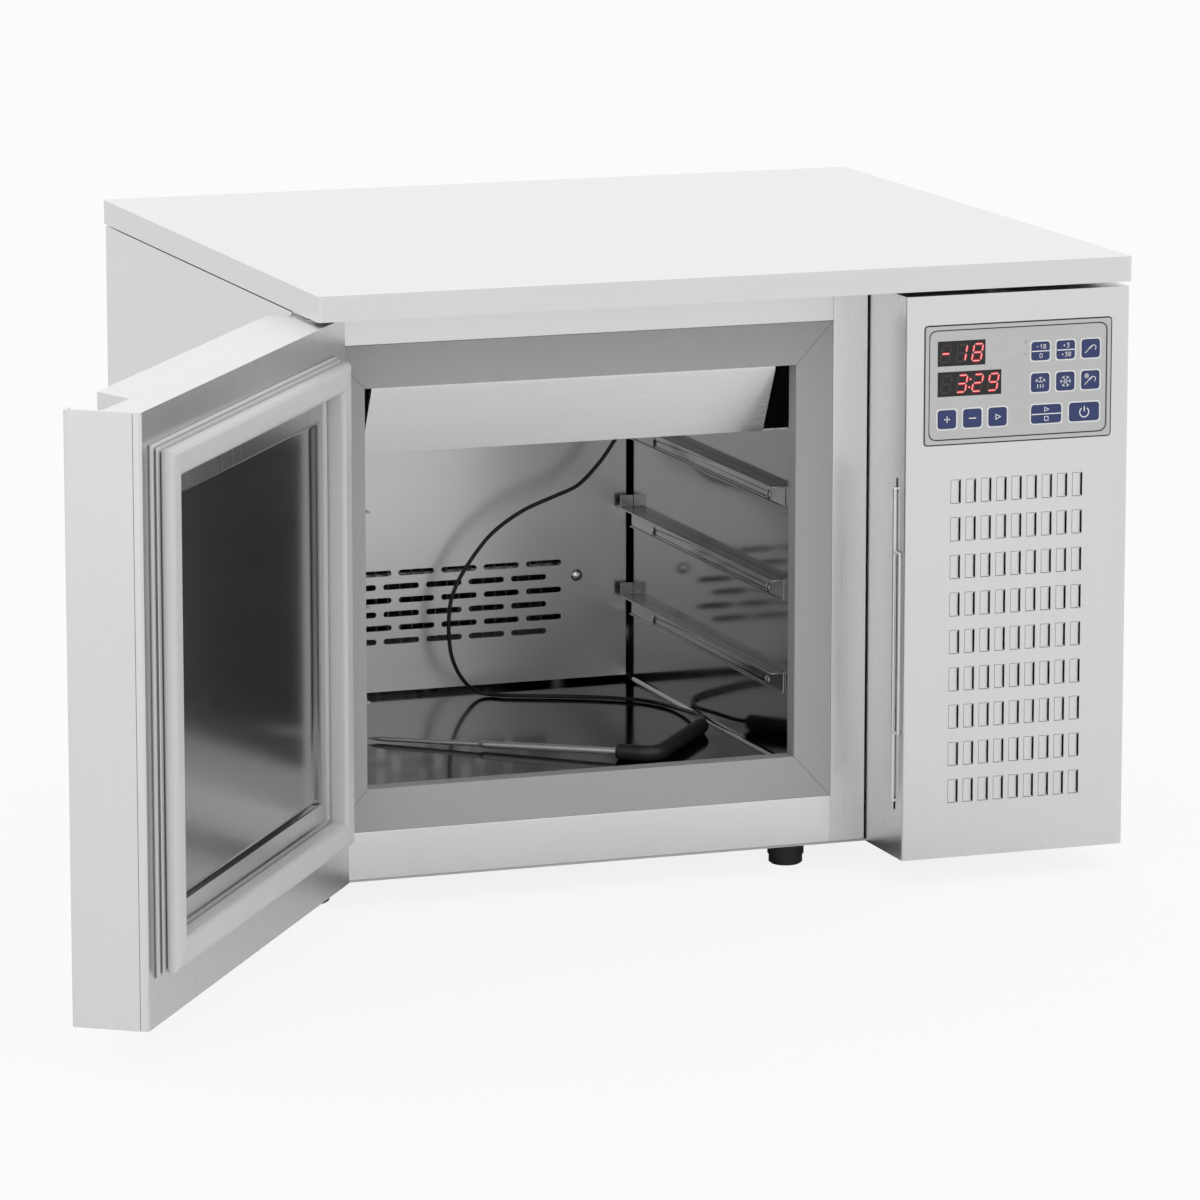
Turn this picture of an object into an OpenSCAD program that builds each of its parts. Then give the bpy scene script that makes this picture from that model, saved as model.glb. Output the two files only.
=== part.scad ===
// Countertop blast chiller. An insulated chamber with three pairs of tray runners
// stands on the left behind a door hinged at its left edge, and a control housing
// with the condensing unit stands on the right, under one stainless worktop.
// Lengths are in millimetres. The origin is the middle of the cabinet's underside,
// +X runs to the right, +Y to the back and +Z up. The door is drawn standing open.

/* [Worktop] */
// Width of the worktop, and of the whole appliance
worktop_w = 640; // [620:5:770]
// Depth of the worktop, front to back
worktop_d = 582; // [570:2:700]
// Thickness of the worktop slab
worktop_t = 19; // [14:1:30]
// Shadow gap between the cabinet's top and the worktop
worktop_gap = 2; // [1:0.5:4]
// How far the worktop stands forward of the cabinet's front frame
front_overhang = 74; // [70:1:90]
// How far the cabinet's sides stand back from the worktop's ends
side_inset = 2; // [0:0.5:6]
// Thickness of the outer sheet metal
sheet = 1; // [0.8:0.1:1.5]

/* [Chamber] */
// Width inside the chamber, between its side walls
liner_w = 341; // [335:1:350]
// Height inside the chamber, floor to ceiling
liner_h = 314.5; // [300:0.5:420]
// Depth inside the chamber, from the breaker frame to the rear wall
liner_d = 446; // [430:1:450]
// Sheet thickness of the chamber liner
liner_t = 1; // [0.6:0.1:1.5]
// Radius of the liner's long corners
liner_r = 5; // [2:0.5:9]
// Height of the chamber floor over the cabinet's underside
floor_wall = 59.5; // [50:0.5:70]
// Thickness of the wall over the chamber ceiling
ceiling_wall = 57; // [45:1:70]
// Depth of the evaporator bay behind the perforated cover
coil_bay_d = 94; // [85:1:96]

/* [Front frame] */
// Width of the hinge stile, left of the breaker frame
stile_w = 26; // [24:1:40]
// Width of the mullion between the breaker frame and the control housing
mullion_w = 27.8; // [20:0.1:40]
// Face width of the breaker frame's upright bars
frame_side = 30; // [26:1:36]
// Face width of the breaker frame's top and bottom bars
frame_end = 32.5; // [28:0.5:36]
// Depth of the breaker frame
frame_d = 15; // [12:1:20]
// Height of the frame's lower inner edge over the chamber floor
sill_h = 10.5; // [4:0.5:16]
// Drop of the frame's upper inner edge under the chamber ceiling
head_drop = 3; // [1:0.5:8]

/* [Tray runners] */
// Number of runner pairs
runner_count = 3; // [2:1:3]
// Distance between runner levels
runner_pitch = 72; // [60:1:75]
// Height of the lowest ledge over the chamber floor
first_runner_h = 71.5; // [60:0.5:80]
// Width of the ledge that a tray slides on
ledge_w = 11; // [9:0.5:14]
// Height of the flange that is screwed to the wall
runner_flange = 16.5; // [15:0.5:24]
// Length of a runner
runner_l = 338; // [300:2:340]
// Setback of a runner's front end from the breaker frame
runner_setback = 7; // [4:1:12]
// Height of the stop at a runner's rear end
runner_stop = 10; // [6:1:14]
// Sheet thickness of the runners and the evaporator cover
runner_t = 1.2; // [1:0.1:1.5]

/* [Air path] */
// Height of the duct panel over the chamber floor
duct_h = 255.5; // [245:0.5:260]
// Distance from the breaker frame back to the duct panel's front bend
duct_setback = 29; // [24:1:40]
// Gap between the sloping deflector and each side wall
deflector_gap = 10.5; // [8:0.5:20]
// Length of a slot in the evaporator cover
cover_slot_l = 30; // [20:1:32]
// Height of a slot in the evaporator cover
cover_slot_h = 4.7; // [3:0.1:6]
// Sideways pitch of the slots
cover_slot_px = 36; // [34:0.5:38]
// Pitch of the slot rows
cover_slot_pz = 11.1; // [9:0.1:14]
// Height of the lowest slot row over the chamber floor
cover_slot_z = 44.8; // [35:0.2:60]
// Outer diameter of the evaporator fan's blades
evap_fan_d = 150; // [120:2:160]
// Outer diameter of the condenser fan's blades
cond_fan_d = 146; // [110:2:150]
// Running gap between a fan's blades and the ring round them
fan_gap = 4; // [3:0.5:6]

/* [Door] */
// Thickness of the door
door_t = 58; // [50:1:60]
// Gap between the shut door and the control housing
door_side_gap = 7; // [5:0.5:12]
// Height of the door's lower edge over the cabinet's underside
door_lift = 9; // [8.5:0.5:16]
// Gap between the door's top and the worktop
door_top_gap = 2.5; // [2:0.1:5]
// Distance from the door's hinged end to the hinge pin
hinge_in = 9; // [8:0.5:14]
// Distance from the door's inner face to the hinge pin
hinge_back = 18.5; // [14:0.5:24]
// Angle that the door is drawn open
door_angle = 125; // [0:5:130]
// Radius of the door's outer vertical edge at the hinge
door_r = 7; // [3:0.5:8]
// Width of the handle channel over its sloping side
grip_w = 77.5; // [66:0.5:90]
// Width of the handle channel's sloping side
grip_slope = 22.5; // [10:0.5:30]
// Depth of the handle channel
grip_depth = 31; // [24:0.5:34]
// Thickness of the folded flange outside the handle channel
grip_flange = 4.2; // [3:0.2:8]
// Width of the hem along the flange's lip
grip_hem = 10; // [8:0.5:14]
// Setback of the flange's lip from the door's outer face
grip_lip = 3.5; // [0:0.5:6]

/* [Gasket] */
// Width of the door gasket
gasket_w = 23.5; // [22:0.5:26]
// Setback of the gasket from the door's free edge
gasket_free = 14.5; // [12:0.5:18]
// Setback of the gasket from the door's hinged edge
gasket_hinge = 28; // [26:0.5:34]
// Height of the gasket's outer edge over the door's lower edge
gasket_foot = 34; // [30:0.5:36]
// Drop of the gasket's outer edge under the door's top
gasket_head = 24; // [22:0.5:28]
// Gap between the gasket and the breaker frame when the door is shut
gasket_gap = 0.3; // [0.2:0.1:1]
// Width of the raised border round the door's inner field
border_w = 16.3; // [12:0.1:20]
// Height of the border over the door's inner face
border_rise = 1.5; // [1:0.1:3]
// Depth that the polished field is pressed in behind the border
field_drop = 3; // [2:0.5:6]

/* [Control housing] */
// Gap between the housing's top and the worktop
housing_top_gap = 3.5; // [2:0.5:8]
// Radius of the housing's upright front edges
housing_r = 2; // [1.5:0.5:4]
// Number of louvre columns and rows
louvre_n = 9; // [6:1:9]
// Width of a louvre
louvre_w = 8.2; // [6:0.2:9]
// Height of a louvre
louvre_h = 17.9; // [12:0.1:20]
// Sideways pitch of the louvres
louvre_px = 12.4; // [11.6:0.1:14]
// Upright pitch of the louvres
louvre_pz = 28.7; // [26:0.1:29]
// Depth that a louvre is pressed in
louvre_depth = 1.9; // [1.5:0.1:3]
// Height of the louvre field's upper edge
louvre_top = 289.8; // [280:0.2:292]

/* [Control panel] */
// Width of the control panel
panel_w = 150.5; // [148:0.5:154]
// Height of the control panel
panel_h = 89; // [88:0.5:92]
// Height of the control panel's middle over the cabinet's underside
panel_z = 361.8; // [356:0.2:366]
// Width of a small key
key_w = 14.6; // [13:0.2:15]
// Height of a key
key_h = 13.7; // [12:0.1:14]
// Width of a large key
big_key_w = 24.2; // [22:0.2:25]
// Clearance round a key in its opening
key_clear = 0.25; // [0.15:0.05:0.4]
// Travel of a key
key_travel = 0.4; // [0.3:0.05:0.6]

/* [Feet and probe] */
// Height of a foot
foot_h = 20; // [16:1:40]
// Diameter of a foot
foot_d = 28; // [22:1:34]
// Diameter of the probe's cord
cord_d = 3.2; // [3:0.1:3.6]
// Diameter of the probe's handle
probe_grip_d = 12.5; // [11:0.5:14]
// Diameter of the probe's needle
needle_d = 4; // [3:0.2:5]
// Radius of the probe holder's long rod
rod_r = 1.75; // [1.5:0.05:2]

/* [Hidden] */
$fn = 48;
eps = 0.5;

// Heights
liner_z0 = floor_wall;
liner_z1 = liner_z0 + liner_h;
case_h = liner_z1 + ceiling_wall;
worktop_z = case_h + worktop_gap;
pan_t = 1.5;

// Places from front to back
y_front = -worktop_d / 2;
y_case = y_front + front_overhang;
y_rear = worktop_d / 2;
y_liner = y_case + frame_d;
y_liner_rear = y_liner + liner_d;
y_cover = y_liner_rear - coil_bay_d;
y_wall = y_rear - sheet;

// Places from left to right
case_l = -worktop_w / 2 + side_inset;
case_r = worktop_w / 2 - side_inset;
frame_lap = 0.5;
frame_x0 = case_l + stile_w;
frame_x1 = frame_x0 + liner_w - 2 * frame_lap + 2 * frame_side;
chamber_x = (frame_x0 + frame_x1) / 2;
liner_x0 = chamber_x - liner_w / 2;
liner_x1 = chamber_x + liner_w / 2;
mullion_x1 = frame_x1 + mullion_w;
housing_seam = 1.2;
housing_x0 = mullion_x1 + housing_seam;
housing_x1 = case_r;
housing_x = (housing_x0 + housing_x1) / 2;
housing_z1 = worktop_z - housing_top_gap;

// Breaker frame
frame_z0 = liner_z0 + sill_h - frame_end;
frame_z1 = liner_z1 - head_drop + frame_end;

// Runners, duct and fans
runner_y0 = y_liner + runner_setback;
runner_y1 = runner_y0 + runner_l;
screw_in = 32;
screw_out = 53;
screw_drop = 11.4;
screw_d = 4;
duct_z = liner_z0 + duct_h;
duct_y0 = y_liner + duct_setback;
evap_fan_y = (duct_y0 + y_cover) / 2;
cond_fan_z = 160;
pass_y = y_cover + 58;
pass_z = duct_z - 5;

// Door in its shut place: u runs from the hinged end, t from the outer face
door_w = housing_x0 - door_side_gap - case_l;
door_z0 = door_lift;
door_z1 = worktop_z - door_top_gap;
door_h = door_z1 - door_z0;
pivot_x = case_l + hinge_in;
pivot_y = y_front + door_t - hinge_back;
pin_d = 8;
pin_clear = 0.05;
bush_d = 12;
bush_l = 14;
gasket_l = door_w - gasket_free - gasket_hinge;
gasket_up = door_h - gasket_foot - gasket_head;
gasket_t = front_overhang - door_t - gasket_gap;

// Control panel layout, measured from the panel's middle
key_r = 2.5;
KEYS = [
    ["key_plus", -57.5, -25.9, key_w], ["key_minus", -36.9, -25.9, key_w],
    ["key_set", -16.4, -25.9, key_w], ["key_chill_time", 18, 22, key_w],
    ["key_freeze_time", 38.5, 22, key_w], ["key_chill_probe", 59, 22, key_w],
    ["key_defrost", 18, -1.9, key_w], ["key_freeze", 38.5, -1.9, key_w],
    ["key_freeze_probe", 59, -1.9, key_w], ["key_start_stop", 23.2, -25.9, big_key_w],
    ["key_power", 54.2, -25.9, big_key_w]];
// Each window: place of its middle, width and height
WINDOWS = [[-46.1, 23.7, 38.6, 19], [-39.5, 0.6, 51.6, 18.7]];

// Probe on the chamber floor: the bend of its handle, from the chamber's right wall and
// front edge, and the needle's heading
probe_at = [liner_x1 - 89.5, y_liner + 46];
probe_turn = 141.5;
probe_leg = 113;
probe_neck = 32;
probe_l = 238;

// Cord from the gland on the right wall to the probe's handle, chosen by hand
CORD = [[74, 119, 283], [68, 119, 281.6], [63, 119, 277.5], [58.5, 119, 270],
    [53, 119, 261], [41, 119, 245], [23, 119, 228], [3, 119, 220], [-19, 119, 212],
    [-36, 119, 203], [-51, 119, 192], [-62, 119, 180], [-71, 119, 168],
    [-79, 119, 155], [-84.5, 119, 141], [-86.5, 119, 127], [-86.5, 119, 112],
    [-84.5, 119, 96], [-79, 119.5, 82], [-70.5, 121, 70.5], [-61, 123.5, 63.5],
    [-52, 121.5, 61.4], [-42, 113.5, 61.4], [-20, 103, 61.4], [8, 91, 61.4],
    [35, 75, 61.4], [57, 56, 61.4], [67.5, 31, 61.4], [71, 8, 62.6],
    [71.5, -13, 64.6], [71, -31, 66], [69, -46, 66.4], [64.5, -58, 66],
    [60, -66.5, 65.9], [56, -72, 65.9]];

function unit(v) = v / norm(v);
function arc(c, r, a0, a1, n) =
    [for (i = [0:n]) c + r * [cos(a0 + (a1 - a0) * i / n), sin(a0 + (a1 - a0) * i / n)]];

// A block between two opposite corners
module box(p, q) {
    translate(p) cube(q - p);
}

// A flat outline with round corners, centred
module round_rect(w, h, r) {
    square([w - 2 * r, h], center = true);
    square([w, h - 2 * r], center = true);
    for (sx = [-1, 1], sy = [-1, 1])
        translate([sx * (w / 2 - r), sy * (h / 2 - r)]) circle(r);
}

// A slot outline with half-round ends, lying along X
module slot(l, h) {
    square([l - h, h], center = true);
    for (s = [-1, 1])
        translate([s * (l - h) / 2, 0]) circle(d = h, $fn = 24);
}

// An X-Z outline given depth towards the back, from y
module along_y(y, depth) {
    translate([0, y + depth, 0]) rotate([90, 0, 0]) linear_extrude(depth) children();
}

// A Y-Z outline given length to the right, from x
module along_x(x, length) {
    translate([x, 0, 0]) rotate([90, 0, 90]) linear_extrude(length) children();
}

// A round bar between two points
module rod(a, b, r) {
    v = b - a;
    translate(a)
        rotate([0, acos(v[2] / norm(v)), atan2(v[1], v[0])])
            cylinder(h = norm(v), r = r, $fn = 24);
}

// A tube that runs through a list of points, with a ball at each bend
module pipe(points, r) {
    for (i = [0:len(points) - 2])
        rod(points[i], points[i + 1], r);
    for (i = [1:len(points) - 2])
        translate(points[i]) sphere(r, $fn = 24);
}

// ---- Outer casing ----

hem_w = 18;

// Sheet folded down and in at its edges, on six spacer pads
module worktop() {
    color("#e8e9ea") {
        difference() {
            translate([0, 0, worktop_z])
                linear_extrude(worktop_t) round_rect(worktop_w, worktop_d, 3);
            translate([0, 0, worktop_z + sheet]) linear_extrude(worktop_t - 2 * sheet)
                round_rect(worktop_w - 2 * sheet, worktop_d - 2 * sheet, 2);
            box([-worktop_w / 2 + hem_w, -worktop_d / 2 + hem_w, worktop_z - 1],
                [worktop_w / 2 - hem_w, worktop_d / 2 - hem_w, worktop_z + 2 * sheet]);
        }
        for (x = [case_l + 60, 0, case_r - 60], y = [y_case + 40, y_wall - 40])
            translate([x, y, case_h]) cylinder(d = 24, h = worktop_gap + worktop_t - sheet / 2);
    }
}

flange_w = 14;

// A side sheet whose rear edge turns in behind the rear panel
module side_panel(x, inward) {
    box([min(x, x + inward * sheet), y_case, 0],
        [max(x, x + inward * sheet), y_wall, case_h]);
    box([min(x, x + inward * flange_w), y_wall - sheet, 0],
        [max(x, x + inward * flange_w), y_wall, case_h]);
}

module left_side_panel() {
    color("#c9cbcd") side_panel(case_l, 1);
}

module right_side_panel() {
    color("#c9cbcd") side_panel(case_r, -1);
}

vent_rows = 16;
vent_pitch = 20;
vent_l = 62;
vent_h = 6;
rear_screw_in = 7;

// Rear sheet, with an air grille over the condensing unit
module rear_panel() {
    vent_x = (mullion_x1 + case_r) / 2;
    color("#c4c6c8") difference() {
        along_y(y_wall, sheet) difference() {
            translate([case_l, 0]) square([case_r - case_l, case_h]);
            for (i = [0:vent_rows - 1], s = [-1, 1])
                translate([vent_x + s * (vent_l / 2 + 5), 90 + i * vent_pitch])
                    slot(vent_l, vent_h);
            translate([gland_at[0], gland_at[1]]) circle(d = gland_d);
            for (x = [case_l + rear_screw_in, case_r - rear_screw_in],
                 z = [30 : (case_h - 60) / 3 : case_h - 30])
                translate([x, z]) circle(d = screw_d);
        }
    }
}

// Floor sheet under the chamber, the condensing unit and the control housing
module base_pan() {
    color("#9fa2a5") linear_extrude(pan_t) difference() {
        union() {
            translate([case_l + sheet, y_case])
                square([case_r - case_l - 2 * sheet, y_wall - sheet - y_case]);
            intersection() {
                housing_hollow();
                translate([housing_x0, y_front]) square([housing_x1 - housing_x0, front_overhang + 1]);
            }
        }
        translate(drain_at) circle(d = drain_d);
    }
}

module top_closure() {
    color("#b5b7ba")
        box([case_l + sheet, y_case, case_h - sheet],
            [case_r - sheet, y_wall - sheet, case_h]);
}

// Sheet wall between the insulated chamber and the condensing unit
module partition() {
    color("#aeb1b4") difference() {
        box([mullion_x1, y_liner, pan_t], [housing_x0, y_wall - sheet, case_h - sheet]);
        translate([mullion_x1 - 1, pass_y, pass_z]) pipe_pass(housing_seam + 2);
    }
}

// The liner's outline seen from the front, grown by g
module liner_outline(g) {
    translate([chamber_x, (liner_z0 + liner_z1) / 2])
        round_rect(liner_w + 2 * g, liner_h + 2 * g, liner_r + g);
}

pass_w = 30;
pass_h = 16;

// Slotted way for the pipes, centred on its corner of origin
module pipe_pass(length) {
    along_x(0, length) slot(pass_w, pass_h);
}

module insulation_foam() {
    color("#f1e6b8") difference() {
        box([case_l + sheet, y_liner, pan_t], [mullion_x1, y_wall - sheet, case_h - sheet]);
        along_y(y_liner - 1, liner_d + liner_t + 1) liner_outline(liner_t);
        translate([liner_x1 - 1, pass_y, pass_z]) pipe_pass(mullion_x1 - liner_x1 + 2);
        translate([drain_at[0], drain_at[1], 0]) cylinder(d = drain_d, h = liner_z0);
        translate([liner_x1, CORD[0][1], CORD[0][2]])
            rotate([0, 90, 0]) cylinder(d = gland_thread, h = 12);
    }
}

// ---- Front frame ----

// A channel folded from sheet, open at its back; its flanges run along the long edges
module channel(x0, x1, z0, z1, upright) {
    rim = upright ? [sheet, 0] : [0, sheet];
    color("#cfd1d3") difference() {
        box([x0, y_case, z0], [x1, y_liner, z1]);
        box([x0 + rim[0] - (upright ? 0 : 1), y_case + sheet, z0 + rim[1] - (upright ? 1 : 0)],
            [x1 - rim[0] + (upright ? 0 : 1), y_liner + 1, z1 - rim[1] + (upright ? 1 : 0)]);
    }
}

module upper_rail() {
    channel(frame_x0, frame_x1, frame_z1, case_h - sheet, false);
}

module lower_rail() {
    channel(frame_x0, frame_x1, pan_t, frame_z0, false);
}

module hinge_stile() {
    channel(case_l + sheet, frame_x0, pan_t, case_h - sheet, true);
}

module mullion() {
    channel(frame_x1, mullion_x1, pan_t, case_h - sheet, true);
}

mitre_gap = 0.15;

// Four plastic bars mitred at the corners, which break the cold bridge
module breaker_frame() {
    w = (frame_x1 - frame_x0) / 2;
    h = (frame_z1 - frame_z0) / 2;
    wi = w - frame_side;
    hi = h - frame_end;
    g = mitre_gap;
    color("#9a9c9e") translate([chamber_x, 0, (frame_z0 + frame_z1) / 2]) {
        for (s = [-1, 1]) {
            along_y(y_case, frame_d)
                polygon([[s * w, -h], [s * wi, -hi], [s * wi, hi], [s * w, h]]);
            along_y(y_case, frame_d)
                polygon([[g - w, s * h], [g - wi, s * hi], [wi - g, s * hi], [w - g, s * h]]);
        }
    }
}

// ---- Chamber ----

drain_at = [chamber_x, y_cover + 30];
drain_d = 18;

// Stainless box with long round corners, open at the front
module inner_liner() {
    color("#b9bbbd") difference() {
        along_y(y_liner, liner_d + liner_t) liner_outline(liner_t);
        along_y(y_liner - 1, liner_d + 1) liner_outline(0);
        for (i = [0:runner_count - 1], y = [runner_y0 + screw_in, runner_y1 - screw_out])
            translate([chamber_x, y, ledge_z(i) - screw_drop])
                rotate([0, 90, 0]) cylinder(d = screw_d, h = liner_w + 8, center = true);
        translate([drain_at[0], drain_at[1], liner_z0 - 5]) cylinder(d = drain_d, h = 10);
        translate([liner_x1 - 1, pass_y, pass_z]) pipe_pass(liner_t + 2);
        translate([liner_x1 - 1, CORD[0][1], CORD[0][2]])
            rotate([0, 90, 0]) cylinder(d = gland_thread, h = liner_t + 2);
    }
}

cover_screw_x = 124.6;
cover_screw_z = 88.8;
cover_rows = 6;
cover_cols = 6;
cover_flange = 12;
cover_gap = 3.5;
cover_foot = 4;

// Perforated sheet in front of the evaporator, with staggered rows of slots
module evaporator_cover() {
    z0 = liner_z0;
    color("#b4b6b8") {
        along_y(y_cover, runner_t) difference() {
            translate([liner_x0 + cover_gap, z0 + cover_foot])
                square([liner_w - 2 * cover_gap, duct_z - z0 - cover_foot]);
            for (r = [0:cover_rows - 1], c = [0:cover_cols - 1])
                translate([chamber_x + (c - (cover_cols - 1) / 2) * cover_slot_px
                           + (r % 2 == 0 ? -1 : 1) * 6.4,
                           z0 + cover_slot_z + r * cover_slot_pz])
                    slot(cover_slot_l, cover_slot_h);
            for (s = [-1, 1])
                translate([chamber_x + s * cover_screw_x, z0 + cover_screw_z])
                    circle(d = screw_d);
        }
        for (x = [liner_x0 + cover_gap, liner_x1 - cover_gap - runner_t])
            box([x, y_cover, z0 + cover_foot], [x + runner_t, y_cover + cover_flange, duct_z]);
    }
}

duct_t = 1.2;
cheek_w = 9;

// Folded panel under the ceiling: a flat part with the fan's opening, and a deflector
// that slopes up to the front and is fixed under the ceiling
module air_duct_panel() {
    rise = liner_z1 - duct_z;
    lip_y = y_liner + 1.5;
    color("#c3c5c7") {
        difference() {
            box([liner_x0, duct_y0, duct_z], [liner_x1, y_cover + cover_flange, duct_z + duct_t]);
            translate([chamber_x, evap_fan_y, duct_z - 1])
                cylinder(d = evap_fan_d + 2 * fan_gap, h = duct_t + 2, $fn = 96);
        }
        along_x(liner_x0 + deflector_gap, liner_w - 2 * deflector_gap)
            polygon([[duct_y0, duct_z], [duct_y0 + duct_t, duct_z + duct_t],
                [lip_y + duct_t, liner_z1 - 7], [lip_y + duct_t, liner_z1],
                [lip_y, liner_z1], [lip_y, liner_z1 - 8], [duct_y0 - duct_t, duct_z]]);
        for (x = [liner_x0 + deflector_gap, liner_x1 - deflector_gap - duct_t])
            along_x(x, duct_t)
                polygon([[duct_y0 - duct_t, duct_z], [duct_y0 + cheek_w, duct_z],
                    [lip_y + cheek_w, liner_z1], [lip_y, liner_z1], [lip_y, liner_z1 - 8]]);
    }
}

function ledge_z(i) = liner_z0 + first_runner_h + i * runner_pitch;

// One runner on the right wall: flange, ledge, bottom curl and rear stop
module runner(i) {
    z = ledge_z(i);
    x = liner_x1;
    difference() {
        union() {
            box([x - runner_t, runner_y0, z - runner_flange], [x, runner_y1, z]);
            box([x - ledge_w, runner_y0, z - runner_t], [x, runner_y1, z]);
            box([x - 3, runner_y0, z - runner_flange],
                [x, runner_y1, z - runner_flange + runner_t]);
            box([x - ledge_w, runner_y1 - runner_t, z - 1], [x, runner_y1, z + runner_stop]);
        }
        for (y = [runner_y0 + screw_in, runner_y1 - screw_out])
            translate([x - 5, y, z - screw_drop])
                rotate([0, 90, 0]) cylinder(d = screw_d, h = 10);
    }
}

// Three pairs of ledges for trays of 325 by 354 mm
module tray_runners() {
    color("#d2d4d6")
        for (i = [0:runner_count - 1]) {
            runner(i);
            translate([2 * chamber_x, 0, 0]) mirror([1, 0, 0]) runner(i);
        }
}

// A domed screw whose head rests on z = 0 with its shank below
module screw(head_d, shank) {
    rotate_extrude($fn = 32) union() {
        intersection() {
            translate([0, -head_d * 0.42]) circle(d = head_d * 1.32);
            square([head_d / 2, head_d * 0.3]);
        }
        translate([0, -shank]) square([screw_d / 2, shank + 0.2]);
    }
}

module panel_screws() {
    color("#d8dadc") {
        for (i = [0:runner_count - 1], y = [runner_y0 + screw_in, runner_y1 - screw_out],
             s = [-1, 1])
            translate([chamber_x + s * (liner_w / 2 - runner_t), y, ledge_z(i) - screw_drop])
                rotate([0, -s * 90, 0]) screw(7.6, runner_t + liner_t);
        for (s = [-1, 1])
            translate([chamber_x + s * cover_screw_x, y_cover, liner_z0 + cover_screw_z])
                rotate([90, 0, 0]) screw(9.9, runner_t);
        for (x = [case_l + rear_screw_in, case_r - rear_screw_in],
             z = [30 : (case_h - 60) / 3 : case_h - 30])
            translate([x, y_rear, z]) rotate([-90, 0, 0]) screw(8, sheet);
    }
}

coil_fins = 28;
coil_d = 56;

// Fin block on tubes between two end plates that are fixed to the rear wall
module evaporator_coil() {
    x0 = liner_x0 + 26;
    x1 = liner_x1 - 34;
    z0 = liner_z0 + 32;
    z1 = duct_z - 22;
    y0 = y_liner_rear - coil_d - 18;
    color("#c8ccd0") {
        for (i = [0:coil_fins - 1])
            translate([x0 + (x1 - x0) * (i + 0.5) / coil_fins - 0.3, y0, z0 + 3])
                cube([0.6, coil_d, z1 - z0 - 6]);
        for (x = [x0, x1])
            box([x - 0.75, y0, z0], [x + 0.75, y_liner_rear, z1]);
    }
    color("#b87333")
        for (k = [0:4], j = [0:1])
            translate([x0 - 9, y0 + 15 + j * 26, z0 + 20 + k * (z1 - z0 - 40) / 4])
                rotate([0, 90, 0]) cylinder(d = 9, h = x1 - x0 + 18, $fn = 24);
}

// Hub, shaft and blades about the Z axis; the shaft leads up from the hub
module fan_rotor(d, hub_d, hub_h, shaft_l, blades) {
    r = d / 2;
    cylinder(d = hub_d, h = hub_h);
    translate([0, 0, hub_h]) cylinder(d = 6, h = shaft_l, $fn = 24);
    for (i = [0:blades - 1])
        rotate([0, 0, i * 360 / blades])
            intersection() {
                translate([0, 0, hub_h / 2]) rotate([28, 0, 0])
                    linear_extrude(1.6, center = true)
                        polygon([[hub_d / 2 - 3, -9], [r * 0.72, -r * 0.42], [r * 0.98, -r * 0.3],
                            [r * 1.02, r * 0.22], [r * 0.62, r * 0.34], [hub_d / 2 - 3, 9]]);
                cylinder(d = d, h = hub_h, $fn = 96);
            }
}

fan_hub_h = 22;
shaft_clear = 0.05;

module evaporator_fan_rotor() {
    color("#3c4046") translate([chamber_x, evap_fan_y, duct_z + 2.5])
        fan_rotor(evap_fan_d, 46, fan_hub_h, 16, 5);
}

// Motor hung under the ceiling by a strap, with the shaft's bore open below
module evaporator_fan_motor() {
    z = duct_z + 2.5 + fan_hub_h + 2;
    color("#5b5f66") difference() {
        translate([chamber_x, evap_fan_y, z]) {
            cylinder(d = 58, h = 20);
            cylinder(d = 40, h = liner_z1 - z);
            translate([-55, -12, liner_z1 - z - 1.5]) cube([110, 24, 1.5]);
        }
        translate([chamber_x, evap_fan_y, z - 1])
            cylinder(r = 3 + shaft_clear, h = 18, $fn = 24);
    }
}

// Wire rings on two cross wires, under a flat ring fixed to the duct panel
module evaporator_fan_guard() {
    r = evap_fan_d / 2 + fan_gap;
    color("#d5d7d9") translate([chamber_x, evap_fan_y, duct_z]) {
        translate([0, 0, -1.2]) rotate_extrude($fn = 96) translate([r - 2, 0]) square([8, 1.2]);
        for (k = [1:4])
            translate([0, 0, -1.2]) rotate_extrude($fn = 64)
                translate([r * k / 5, 0]) circle(r = 1.1, $fn = 16);
        for (a = [0, 90])
            rotate([0, 0, a + 45])
                rod([-r, 0, -1.2], [r, 0, -1.2], 1.2);
    }
}

// Tube that carries the melt water through the floor
module drain_spout() {
    color("#c9c2a8") translate([drain_at[0], drain_at[1], -8]) difference() {
        union() {
            cylinder(d = drain_d, h = liner_z0 + 8);
            translate([0, 0, liner_z0 + 8]) cylinder(d = drain_d + 8, h = 1);
        }
        translate([0, 0, -1]) cylinder(d = drain_d - 4, h = liner_z0 + 11);
    }
}

// ---- Condensing unit ----

// The pot fills the compartment's width but for room at both sides, and stands a set way
// behind the front frame; its plate's holes are set in from its sides
bay_w = housing_x1 - housing_x0;
comp_room = 33;
comp_d = bay_w - comp_room;
comp_at = [housing_x, y_case + 126 + comp_d / 2];
mount_h = 18;
mount_x = comp_d / 2 - 12;
mount_y = comp_d / 2 - 12;

// Hermetic pot with a weld bead, on a base plate with four mounting holes
module compressor() {
    r = comp_d / 2;
    z = pan_t + mount_h;
    color("#26282b") translate([comp_at[0], comp_at[1], z]) {
        difference() {
            translate([0, 0, 1.5]) linear_extrude(3, center = true)
                round_rect(2 * mount_x + 30, 2 * mount_y + 26, 10);
            for (sx = [-1, 1], sy = [-1, 1])
                translate([sx * mount_x, sy * mount_y, -1]) cylinder(d = 10, h = 5, $fn = 24);
        }
        rotate_extrude($fn = 64)
            polygon(concat([[0, 2]], arc([r - 22, 26], 22, -90, 0, 6),
                [[r, 88], [r + 3, 88], [r + 3, 92], [r - 1, 92]],
                arc([r - 31, 140], 30, 0, 90, 8), [[0, 176]]));
        translate([r - 8, -22, 60]) cube([18, 44, 52]);
    }
}

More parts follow.
